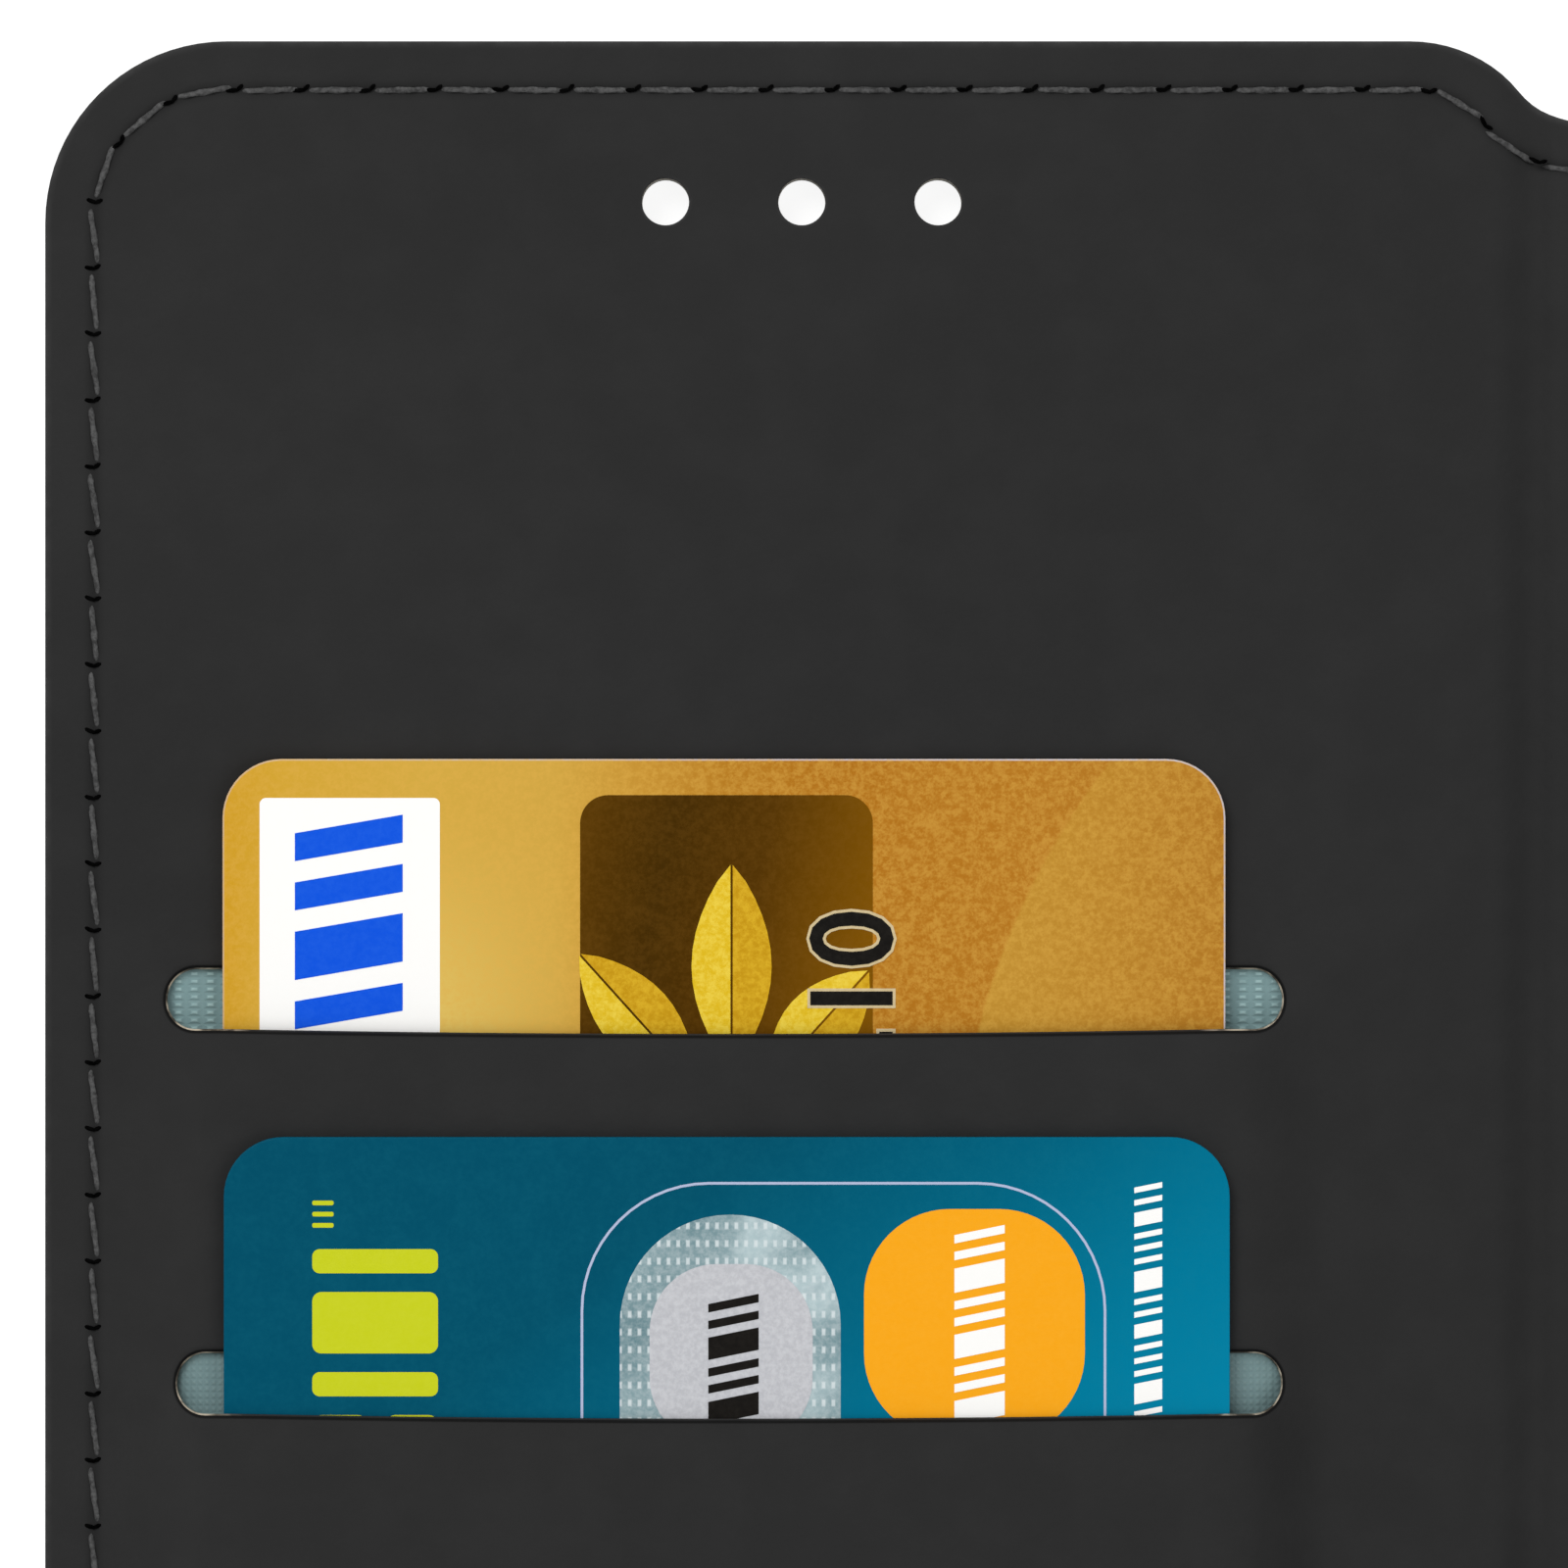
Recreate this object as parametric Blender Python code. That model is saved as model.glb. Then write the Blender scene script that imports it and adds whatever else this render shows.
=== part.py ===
"""Book-style phone wallet, lying open with its inner side up: a front flap with two card pockets, a spine,
and a back cover that holds a moulded phone tray. Metres, +Z up. X runs from the free edge of the flap to the
free edge of the back cover, Y towards the top of the phone, and the outer skins lie on Z = 0."""

import math
from collections import namedtuple

import bmesh
import bpy
from mathutils import Matrix, Vector

# The phone that the case is made for, and the tray round it
PHONE_WIDTH = 0.0713
PHONE_LENGTH = 0.1470
PHONE_THICKNESS = 0.0076
PHONE_RADIUS = 0.0085
TRAY_FIT = 0.00015
TRAY_WALL = 0.0012
TRAY_BASE = 0.0009
TRAY_LIP = 0.0007
TRAY_LIP_REACH = 0.0009
TRAY_PAD_THICKNESS = 0.0003
TRAY_PAD_WIDTH = 0.056
TRAY_PAD_LENGTH = 0.088
TRAY_PAD_DROP = 0.020

# Cover outside the tray
FREE_MARGIN = 0.0038
SPINE_MARGIN = 0.0015
END_MARGIN = 0.00315
CORNER_RADIUS = 0.0098
SHOULDER_RADIUS = 0.0078
DIP_RADIUS = 0.0049
SHOULDER_TURN = math.radians(49)
SHOULDER_LEAD = 0.0057

# Layers
SKIN_THICKNESS = 0.0007
BOARD_THICKNESS = 0.0007
LINER_THICKNESS = 0.00025
LINING_THICKNESS = 0.0005
GLUE_GAP = 0.0001
EDGE_WALL = 0.0010
BOARD_FIT = 0.0002

# Folds
FOLD_SPINE_SIDE = 0.0004
FOLD_SKIN_SIDE = 0.00015
FOLD_CLEARANCE = 0.00015
FOLD_SKIN_CLEARANCE = 0.00005
CLOSED_CLEARANCE = 0.0003

# Cards and their pockets
CARD_WIDTH = 0.05398
CARD_LENGTH = 0.0856
CARD_THICKNESS = 0.00076
CARD_RADIUS = 0.00318
CARD_GAP = 0.0001
CARD_SIDE_GAP = 0.0004
SLOT_HEIGHT = 0.00333
POCKET_RAMP = 0.0054
POCKET_END_GAP = 0.0006
LINER_OVERLAP = 0.0009
LINER_TOP_OVERLAP = 0.0045
LINER_END_GAP = 0.0015
RAMP_STEPS = 6
RAMP_INSET = 0.00015

# lip and card_top are measured down from the flap's top edge, the two centres from the flap's middle
Pocket = namedtuple("Pocket", "lip slot_length slot_centre card_top card_centre")
UPPER_POCKET = Pocket(0.0533, 0.0602, -0.00300, 0.0387, -0.00304)
LOWER_POCKET = Pocket(0.0739, 0.0595, -0.00275, 0.0590, -0.00288)

# Seam
STITCH_INSET = 0.00265
THREAD_WIDTH = 0.0005
THREAD_HEIGHT = 0.00025
SEAM_DEPTH = 0.00032
SEAM_FIT = 0.0001

# Holes and windows
EARPIECE_RADIUS = 0.00127
EARPIECE_PITCH = 0.00735
EARPIECE_FROM_TOP = 0.00866
EARPIECE_COUNT = 3
CAMERA_WIDTH = 0.0115
CAMERA_LENGTH = 0.0250
CAMERA_FROM_SIDE = 0.0145
CAMERA_FROM_TOP = 0.0215
CAMERA_COVER_MARGIN = 0.0008
PORT_WIDTH = 0.0360
PORT_HEIGHT = 0.0052
PORT_RISE = 0.0012
BUTTON_LENGTH = 0.0340
BUTTON_FROM_TOP = 0.0420

# Closure magnets, sunk in the two boards near the free edges
MAGNET_WIDTH = 0.0030
MAGNET_LENGTH = 0.0240
MAGNET_FROM_EDGE = 0.0052
MAGNET_FIT = 0.0001

# A round end's corner radius, as a share of half its width, so that the corners' end points stay apart
ROUND_END = 0.98

CUT_PAST = 0.0020

# Worked out from the sizes above
TRAY_WIDTH = PHONE_WIDTH + 2 * (TRAY_FIT + TRAY_WALL)
TRAY_LENGTH = PHONE_LENGTH + 2 * (TRAY_FIT + TRAY_WALL)
TRAY_HEIGHT = TRAY_BASE + PHONE_THICKNESS + TRAY_LIP
WALL_CUT_DEPTH = 4 * TRAY_WALL
FLAP_WIDTH = SPINE_MARGIN + TRAY_WIDTH + FREE_MARGIN
HALF_HEIGHT = TRAY_LENGTH / 2 + END_MARGIN

BOARD_BOTTOM = SKIN_THICKNESS + GLUE_GAP
BOARD_TOP = BOARD_BOTTOM + BOARD_THICKNESS
PLAIN_LINING = BOARD_TOP + GLUE_GAP
PLAIN_TOP = PLAIN_LINING + LINING_THICKNESS
LINER_BOTTOM = BOARD_TOP + GLUE_GAP
FLAP_LINING = LINER_BOTTOM + LINER_THICKNESS + GLUE_GAP
FLAP_TOP = FLAP_LINING + LINING_THICKNESS
UPPER_CARD_BOTTOM = FLAP_TOP + CARD_GAP
UPPER_STEP = LINING_THICKNESS + CARD_GAP + CARD_THICKNESS + CARD_GAP + LINER_THICKNESS + CARD_GAP
LOWER_STEP = LINING_THICKNESS + CARD_GAP + CARD_THICKNESS + CARD_GAP
LOWER_CARD_BOTTOM = FLAP_TOP + UPPER_STEP + CARD_GAP
POCKET_TOP = FLAP_TOP + UPPER_STEP + LOWER_STEP
TRAY_BOTTOM = PLAIN_TOP + GLUE_GAP + TRAY_PAD_THICKNESS + GLUE_GAP
TRAY_TOP = TRAY_BOTTOM + TRAY_HEIGHT

AXIS_Z = SKIN_THICKNESS / 2
HALF_SPINE = (POCKET_TOP - AXIS_Z + TRAY_TOP - AXIS_Z + CLOSED_CLEARANCE) / 2
FOLD_FLAP_SIDE = math.hypot(PLAIN_TOP - AXIS_Z, FOLD_SPINE_SIDE) + FOLD_CLEARANCE
FOLD_SKIN_FLAP_SIDE = math.hypot(SKIN_THICKNESS - AXIS_Z, FOLD_SKIN_SIDE) + FOLD_SKIN_CLEARANCE
GROOVE_X = HALF_SPINE + FOLD_FLAP_SIDE
HALF_WIDTH = GROOVE_X + FLAP_WIDTH
FLAP_MIDDLE = -HALF_WIDTH + FLAP_WIDTH / 2
TRAY_CENTRE = HALF_WIDTH - FREE_MARGIN - TRAY_WIDTH / 2
RAMP_START = CARD_WIDTH / 2 + CARD_SIDE_GAP
LINING_TOP_Z = POCKET_TOP + CUT_PAST


# ---- outlines -------------------------------------------------------------------------------------------

def arc(centre, radius, start, end, steps):
    """Points on an arc, from the start angle to the end angle in degrees."""
    turns = [math.radians(start + (end - start) * i / steps) for i in range(steps + 1)]
    return [(centre[0] + radius * math.cos(t), centre[1] + radius * math.sin(t)) for t in turns]


def top_line(inset):
    """The case's top edge from the flap's free side to the back cover's, moved inwards by inset."""
    turn = math.degrees(SHOULDER_TURN)
    corner = (-HALF_WIDTH + CORNER_RADIUS, HALF_HEIGHT - CORNER_RADIUS)
    shoulder = (-GROOVE_X - SHOULDER_LEAD, HALF_HEIGHT - SHOULDER_RADIUS)
    reach = SHOULDER_RADIUS + DIP_RADIUS
    dip = (shoulder[0] + reach * math.sin(SHOULDER_TURN), shoulder[1] + reach * math.cos(SHOULDER_TURN))
    left = arc(corner, CORNER_RADIUS - inset, 180, 90, 9)
    left += arc(shoulder, SHOULDER_RADIUS - inset, 90, 90 - turn, 5)
    left += arc(dip, DIP_RADIUS + inset, 270 - turn, 270, 5)[1:]
    return left + [(-x, y) for x, y in reversed(left)]


def clip(line, low, high):
    """The part of a line of points, in order of x, that lies between two x values."""
    points = []
    for (x0, y0), (x1, y1) in zip(line, line[1:]):
        for x, y in ((x0, y0), (x1, y1)):
            if low <= x <= high and (not points or points[-1] != (x, y)):
                points.append((x, y))
        for x in (low, high):
            if x0 < x < x1:
                points.append((x, y0 + (y1 - y0) * (x - x0) / (x1 - x0)))
    return sorted(set(points))


def outline(low, high, inset=0.0):
    """The case's outline between two x values, its edge moved inwards by inset."""
    top = clip(top_line(inset), low, high)
    return top + [(x, -y) for x, y in reversed(top)]


def seam_band(low, high, half_width):
    """A strip along the seam from one x value round the flap's free side and back to it."""
    outer = clip(top_line(STITCH_INSET - half_width), low, high)
    inner = clip(top_line(STITCH_INSET + half_width), low, high)
    outer = [(x, -y) for x, y in reversed(outer)] + outer
    inner = [(x, -y) for x, y in reversed(inner)] + inner
    return outer + inner[::-1]


def seam_strip(low, high, half_width, side):
    """A strip along the seam at the top (side 1) or the bottom (side -1) of the spine."""
    outer = clip(top_line(STITCH_INSET - half_width), low, high)
    inner = clip(top_line(STITCH_INSET + half_width), low, high)
    return [(x, side * y) for x, y in outer + inner[::-1]]


def mirrored(points):
    return [(-x, y) for x, y in points]


def rounded_box(centre, width, length, radius, steps=6):
    """A rectangle with round corners."""
    points = []
    for start, sx, sy in ((0, 1, 1), (90, -1, 1), (180, -1, -1), (270, 1, -1)):
        corner = (centre[0] + sx * (width / 2 - radius), centre[1] + sy * (length / 2 - radius))
        points += arc(corner, radius, start, start + 90, steps)
    return list(dict.fromkeys((round(x, 9), round(y, 9)) for x, y in points))


def disc(centre, radius, steps=24):
    return arc(centre, radius, 0, 360, steps)[:-1]


# ---- solids ---------------------------------------------------------------------------------------------

def add_object(name, mesh):
    found = bpy.data.objects.new(name, mesh)
    bpy.context.scene.collection.objects.link(found)
    return found


def prism(name, points, bottom, top):
    """An outline extruded from one height to another."""
    shape = bmesh.new()
    base = shape.faces.new([shape.verts.new((x, y, bottom)) for x, y in points])
    raised = bmesh.ops.extrude_face_region(shape, geom=[base])["geom"]
    lifted = [part for part in raised if isinstance(part, bmesh.types.BMVert)]
    bmesh.ops.translate(shape, verts=lifted, vec=(0, 0, top - bottom))
    bmesh.ops.recalc_face_normals(shape, faces=shape.faces)
    mesh = bpy.data.meshes.new(name)
    shape.to_mesh(mesh)
    shape.free()
    return add_object(name, mesh)


def sheet(name, xs, ys, bottom_at, thickness):
    """A closed sheet over a grid of x and y lines, its underside at the height that bottom_at gives."""
    shape = bmesh.new()
    low = [[shape.verts.new((x, y, bottom_at(x, y))) for x in xs] for y in ys]
    high = [[shape.verts.new((x, y, bottom_at(x, y) + thickness)) for x in xs] for y in ys]
    for j in range(len(ys) - 1):
        for i in range(len(xs) - 1):
            shape.faces.new((high[j][i], high[j][i + 1], high[j + 1][i + 1], high[j + 1][i]))
            shape.faces.new((low[j][i], low[j + 1][i], low[j + 1][i + 1], low[j][i + 1]))
    rings = []
    for grid in (low, high):
        ring = grid[0] + [row[-1] for row in grid[1:-1]] + grid[-1][::-1]
        rings.append(ring + [row[0] for row in grid[-2:0:-1]])
    for k, corner in enumerate(rings[0]):
        after = (k + 1) % len(rings[0])
        shape.faces.new((corner, rings[0][after], rings[1][after], rings[1][k]))
    bmesh.ops.recalc_face_normals(shape, faces=shape.faces)
    mesh = bpy.data.meshes.new(name)
    shape.to_mesh(mesh)
    shape.free()
    return add_object(name, mesh)


def combine(solid, tool, operation="DIFFERENCE"):
    """A Boolean of a solid with a helper that isn't part of the case."""
    tool.hide_render = True
    tool.display_type = "WIRE"
    modifier = solid.modifiers.new(tool.name, "BOOLEAN")
    modifier.operation = operation
    modifier.solver = "EXACT"
    modifier.object = tool


def finish(solid, colour, roughness, metallic=0.0):
    """Gives a piece its own material."""
    material = bpy.data.materials.new(solid.name)
    material.use_nodes = True
    shader = material.node_tree.nodes["Principled BSDF"]
    shader.inputs["Base Color"].default_value = (*colour, 1.0)
    shader.inputs["Roughness"].default_value = roughness
    shader.inputs["Metallic"].default_value = metallic
    solid.data.materials.append(material)


def put_on(solid, holder):
    """Parents a piece to a holder, whose place becomes the piece's origin."""
    place = holder.matrix_world.translation
    solid.data.transform(Matrix.Translation(-place))
    solid.parent = holder


def axis_holder(name, place, parent=None):
    """An empty on a joint's axis, which the moving body's pieces hang from."""
    holder = bpy.data.objects.new(name, None)
    bpy.context.scene.collection.objects.link(holder)
    holder.parent = parent
    before = parent.matrix_world.translation if parent else Vector()
    holder.location = Vector(place) - before
    bpy.context.view_layer.update()
    return holder


# ---- cutters --------------------------------------------------------------------------------------------

def cut_earpiece(solid):
    """Three round holes in a row over the phone's earpiece, on the phone's centre line."""
    y = HALF_HEIGHT - EARPIECE_FROM_TOP
    for i in range(EARPIECE_COUNT):
        x = -TRAY_CENTRE + (i - (EARPIECE_COUNT - 1) / 2) * EARPIECE_PITCH
        hole = disc((x, y), EARPIECE_RADIUS)
        combine(solid, prism(f"{solid.name}_hole_{i}", hole, -CUT_PAST, LINING_TOP_Z))


def camera_window(margin):
    """The camera window's outline, at the top of the phone on its free side."""
    centre = (
        TRAY_CENTRE + PHONE_WIDTH / 2 - CAMERA_FROM_SIDE,
        PHONE_LENGTH / 2 - CAMERA_FROM_TOP,
    )
    width = CAMERA_WIDTH + 2 * margin
    return rounded_box(centre, width, CAMERA_LENGTH + 2 * margin, width / 2 * ROUND_END)


def cut_camera(solid, margin):
    window = camera_window(margin)
    combine(solid, prism(f"{solid.name}_camera", window, -CUT_PAST, TRAY_TOP))


def magnet_outline(side, fit):
    """A bar beside the free edge of the flap (side -1) or of the back cover (side 1)."""
    x = side * (HALF_WIDTH - MAGNET_FROM_EDGE)
    half_width, half_length = MAGNET_WIDTH / 2 + fit, MAGNET_LENGTH / 2 + fit
    return [
        (x - half_width, -half_length),
        (x + half_width, -half_length),
        (x + half_width, half_length),
        (x - half_width, half_length),
    ]


# ---- covers and spine -----------------------------------------------------------------------------------

def cover_outline(side, reach, inset=0.0):
    """Outline of the flap (side -1) or the back cover (side 1), ending reach from the fold's axis."""
    points = outline(-HALF_WIDTH, -HALF_SPINE - reach, inset)
    return points if side < 0 else mirrored(points)


def cover_skin(name, side, rim_top):
    """An outer skin whose turned edge stands up round the board, and is flat at the fold."""
    skin = prism(name, cover_outline(side, FOLD_SKIN_FLAP_SIDE), 0, rim_top)
    inside = cover_outline(side, -HALF_SPINE / 2, EDGE_WALL)
    combine(skin, prism(f"{name}_inside", inside, SKIN_THICKNESS, rim_top + CUT_PAST))
    low, high = sorted((side * GROOVE_X, 0))
    groove = [(low, -HALF_WIDTH), (high, -HALF_WIDTH), (high, HALF_WIDTH), (low, HALF_WIDTH)]
    combine(skin, prism(f"{name}_groove", groove, SKIN_THICKNESS, rim_top + CUT_PAST))
    return skin


def cover_board(name, side):
    """A stiffener with a notch for the magnet."""
    points = cover_outline(side, FOLD_FLAP_SIDE, EDGE_WALL + BOARD_FIT)
    board = prism(name, points, BOARD_BOTTOM, BOARD_TOP)
    notch = magnet_outline(side, MAGNET_FIT)
    combine(board, prism(f"{name}_notch", notch, 0, TRAY_TOP))
    return board


def magnet(name, side):
    return prism(name, magnet_outline(side, 0), BOARD_BOTTOM, BOARD_TOP)


def cover_thread(name, side, top):
    """The seam's thread round a cover, lying in its channel."""
    band = seam_band(-HALF_WIDTH, -GROOVE_X - SEAM_FIT, THREAD_WIDTH / 2)
    band = band if side < 0 else mirrored(band)
    return prism(name, band, top - THREAD_HEIGHT, top)


def cut_cover_seam(lining, side, top):
    band = seam_band(-HALF_WIDTH, 0, THREAD_WIDTH / 2 + SEAM_FIT)
    band = band if side < 0 else mirrored(band)
    combine(lining, prism(f"{lining.name}_seam", band, top - SEAM_DEPTH, top + CUT_PAST))


def spine_outline(reach):
    return outline(-HALF_SPINE + reach, HALF_SPINE - reach)


def spine_skin():
    """The spine's outer skin, with a turned edge at its top and bottom."""
    skin = prism("spine_outer_skin", spine_outline(FOLD_SKIN_SIDE), 0, BOARD_TOP)
    half_board = HALF_SPINE - FOLD_SPINE_SIDE
    inside = outline(-HALF_SPINE * 2, HALF_SPINE * 2, EDGE_WALL)
    combine(skin, prism("spine_skin_inside", inside, SKIN_THICKNESS, TRAY_TOP))
    for side in (-1, 1):
        low, high = sorted((side * half_board, side * HALF_SPINE * 2))
        groove = [(low, -HALF_WIDTH), (high, -HALF_WIDTH), (high, HALF_WIDTH), (low, HALF_WIDTH)]
        combine(skin, prism(f"spine_skin_groove_{side}", groove, SKIN_THICKNESS, TRAY_TOP))
    return skin


def spine_board():
    half = HALF_SPINE - FOLD_SPINE_SIDE
    points = outline(-half, half, EDGE_WALL + BOARD_FIT)
    return prism("spine_board", points, BOARD_BOTTOM, BOARD_TOP)


def spine_lining():
    lining = prism("spine_lining", spine_outline(FOLD_SPINE_SIDE), PLAIN_LINING, PLAIN_TOP)
    for side in (-1, 1):
        band = seam_strip(-HALF_SPINE * 2, HALF_SPINE * 2, THREAD_WIDTH / 2 + SEAM_FIT, side)
        channel = prism(f"spine_seam_{side}", band, PLAIN_TOP - SEAM_DEPTH, PLAIN_TOP + CUT_PAST)
        combine(lining, channel)
    return lining


def spine_thread(name, side):
    half = HALF_SPINE - FOLD_SPINE_SIDE - SEAM_FIT
    band = seam_strip(-half, half, THREAD_WIDTH / 2, side)
    return prism(name, band, PLAIN_TOP - THREAD_HEIGHT, PLAIN_TOP)


def back_lining():
    points = cover_outline(1, FOLD_FLAP_SIDE)
    lining = prism("back_lining", points, PLAIN_LINING, PLAIN_TOP)
    cut_cover_seam(lining, 1, PLAIN_TOP)
    return lining


# ---- card pockets ---------------------------------------------------------------------------------------

def ease(t):
    t = min(max(t, 0.0), 1.0)
    return t * t * (3 - 2 * t)


def pocket_middle():
    return FLAP_MIDDLE + (UPPER_POCKET.card_centre + LOWER_POCKET.card_centre) / 2


def pocket_side(x):
    """1 over the cards, falling to 0 at the foot of the ramp beside them."""
    return ease((RAMP_START + POCKET_RAMP - abs(x - pocket_middle())) / POCKET_RAMP)


def slot_edges(pocket):
    """The y of a slot's lower lip and of its upper edge."""
    lip = HALF_HEIGHT - pocket.lip
    return lip, lip + SLOT_HEIGHT


def below_slot(pocket, y):
    """0 above a slot and 1 below it, changing inside the slot's height."""
    lip, edge = slot_edges(pocket)
    return ease((edge - RAMP_INSET - y) / (SLOT_HEIGHT - 2 * RAMP_INSET))


def pocket_foot():
    """The y where the ramp below the lower card starts and where it ends."""
    start = HALF_HEIGHT - LOWER_POCKET.card_top - CARD_LENGTH - POCKET_END_GAP
    return start, start - POCKET_RAMP


def pocket_end(y):
    start, end = pocket_foot()
    return ease((y - end) / (start - end))


def lining_bottom(x, y):
    """Height of the flap lining's underside, which steps up over each card."""
    steps = UPPER_STEP * below_slot(UPPER_POCKET, y) + LOWER_STEP * below_slot(LOWER_POCKET, y)
    return FLAP_LINING + steps * pocket_side(x) * pocket_end(y)


def even(low, high, steps):
    return [low + (high - low) * i / steps for i in range(steps + 1)]


def ramp_lines(low, high):
    """x lines between two limits, closer over the ramps beside the cards."""
    middle, foot = pocket_middle(), RAMP_START + POCKET_RAMP
    left = even(middle - foot, middle - RAMP_START, RAMP_STEPS)
    right = even(middle + RAMP_START, middle + foot, RAMP_STEPS)
    inner = [x for x in left + right if low < x < high]
    return [low] + inner + [high]


def slot_lines(pocket):
    lip, edge = slot_edges(pocket)
    return even(lip + RAMP_INSET, edge - RAMP_INSET, 4)


def stadium(pocket):
    """A slot's outline: straight lips and round ends."""
    lip, edge = slot_edges(pocket)
    centre = (FLAP_MIDDLE + pocket.slot_centre, (lip + edge) / 2)
    return rounded_box(centre, pocket.slot_length, SLOT_HEIGHT, SLOT_HEIGHT / 2 * ROUND_END)


def front_lining():
    """The flap's inner face: one sheet with two slots, raised over the cards below each slot."""
    start, end = pocket_foot()
    ys = [-HALF_HEIGHT - CUT_PAST] + even(end, start, RAMP_STEPS)
    ys += slot_lines(LOWER_POCKET) + slot_lines(UPPER_POCKET) + [HALF_HEIGHT + CUT_PAST]
    xs = ramp_lines(-HALF_WIDTH - CUT_PAST, -HALF_SPINE)
    lining = sheet("front_lining", xs, ys, lining_bottom, LINING_THICKNESS)
    edge = prism("front_lining_edge", cover_outline(-1, FOLD_FLAP_SIDE), 0, LINING_TOP_Z)
    combine(lining, edge, "INTERSECT")
    cut_cover_seam(lining, -1, FLAP_TOP)
    for name, pocket in (("upper", UPPER_POCKET), ("lower", LOWER_POCKET)):
        combine(lining, prism(f"{name}_slot", stadium(pocket), 0, LINING_TOP_Z))
    cut_earpiece(lining)
    return lining


def upper_pocket_liner():
    """Mesh fabric behind the upper card, glued under the lining above the slot."""
    half = UPPER_POCKET.slot_length / 2 + LINER_OVERLAP
    middle = FLAP_MIDDLE + UPPER_POCKET.slot_centre
    top = slot_edges(UPPER_POCKET)[1] + LINER_TOP_OVERLAP
    foot = HALF_HEIGHT - UPPER_POCKET.card_top - CARD_LENGTH - LINER_END_GAP
    box = rounded_box((middle, (top + foot) / 2), 2 * half, top - foot, LINER_TOP_OVERLAP / 2, 3)
    return prism("upper_pocket_liner", box, LINER_BOTTOM, LINER_BOTTOM + LINER_THICKNESS)


def lower_pocket_liner():
    """Plain fabric between the two cards, following the lining down beside them."""
    half = LOWER_POCKET.slot_length / 2 + LINER_OVERLAP
    middle = FLAP_MIDDLE + LOWER_POCKET.slot_centre
    top = slot_edges(LOWER_POCKET)[1] + LINER_TOP_OVERLAP
    xs = ramp_lines(middle - half, middle + half)
    drop = CARD_GAP + LINER_THICKNESS

    def bottom_at(x, _):
        return FLAP_LINING + UPPER_STEP * pocket_side(x) - drop

    return sheet("lower_pocket_liner", xs, [pocket_foot()[0], top], bottom_at, LINER_THICKNESS)


def card(name, pocket, bottom):
    """A card of the standard size, its long side along the flap."""
    centre = (
        FLAP_MIDDLE + pocket.card_centre,
        HALF_HEIGHT - pocket.card_top - CARD_LENGTH / 2,
    )
    points = rounded_box(centre, CARD_WIDTH, CARD_LENGTH, CARD_RADIUS)
    body = prism(name, points, bottom, bottom + CARD_THICKNESS)
    put_on(body, axis_holder(f"{name}_slide", (*centre, bottom)))
    return body


# ---- phone tray -----------------------------------------------------------------------------------------

def tray_cut(tray, name, points, bottom, top):
    combine(tray, prism(f"tray_{name}", points, bottom, top))


def box_outline(centre, width, length):
    x, y = centre
    return [
        (x - width / 2, y - length / 2),
        (x + width / 2, y - length / 2),
        (x + width / 2, y + length / 2),
        (x - width / 2, y + length / 2),
    ]


def phone_tray():
    """A moulded tray with a lip that holds the phone, open at the camera, the port and the buttons."""
    centre = (TRAY_CENTRE, 0)
    floor = TRAY_BOTTOM + TRAY_BASE
    lip = floor + PHONE_THICKNESS
    inner_width, inner_length = PHONE_WIDTH + 2 * TRAY_FIT, PHONE_LENGTH + 2 * TRAY_FIT
    shell = rounded_box(centre, TRAY_WIDTH, TRAY_LENGTH, PHONE_RADIUS + TRAY_WALL)
    tray = prism("phone_tray", shell, TRAY_BOTTOM, TRAY_TOP)
    tray_cut(tray, "bay", rounded_box(centre, inner_width, inner_length, PHONE_RADIUS), floor, lip)
    mouth = rounded_box(
        centre,
        inner_width - 2 * TRAY_LIP_REACH,
        inner_length - 2 * TRAY_LIP_REACH,
        PHONE_RADIUS - TRAY_LIP_REACH,
    )
    tray_cut(tray, "mouth", mouth, floor + PHONE_THICKNESS / 2, TRAY_TOP + CUT_PAST)
    cut_camera(tray, 0)
    window = floor + PORT_RISE
    port = box_outline((TRAY_CENTRE, -TRAY_LENGTH / 2), PORT_WIDTH, WALL_CUT_DEPTH)
    tray_cut(tray, "port", port, window, window + PORT_HEIGHT)
    y = PHONE_LENGTH / 2 - BUTTON_FROM_TOP
    button = box_outline((TRAY_CENTRE + TRAY_WIDTH / 2, y), WALL_CUT_DEPTH, BUTTON_LENGTH)
    tray_cut(tray, "button", button, window, window + PORT_HEIGHT)
    return tray


def tray_pad():
    """The adhesive pad between the back lining and the tray, clear of the camera window."""
    centre = (TRAY_CENTRE, -TRAY_PAD_DROP)
    points = rounded_box(centre, TRAY_PAD_WIDTH, TRAY_PAD_LENGTH, CARD_RADIUS, 3)
    bottom = PLAIN_TOP + GLUE_GAP
    return prism("tray_adhesive_pad", points, bottom, bottom + TRAY_PAD_THICKNESS)


# ---- assembly -------------------------------------------------------------------------------------------

BLACK_LEATHER = (0.026, 0.026, 0.027)
BLACK_LINING = (0.028, 0.028, 0.029)
GREY_BOARD = (0.30, 0.28, 0.25)
BLUE_FABRIC = (0.19, 0.31, 0.33)
GREY_THREAD = (0.060, 0.060, 0.062)


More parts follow.
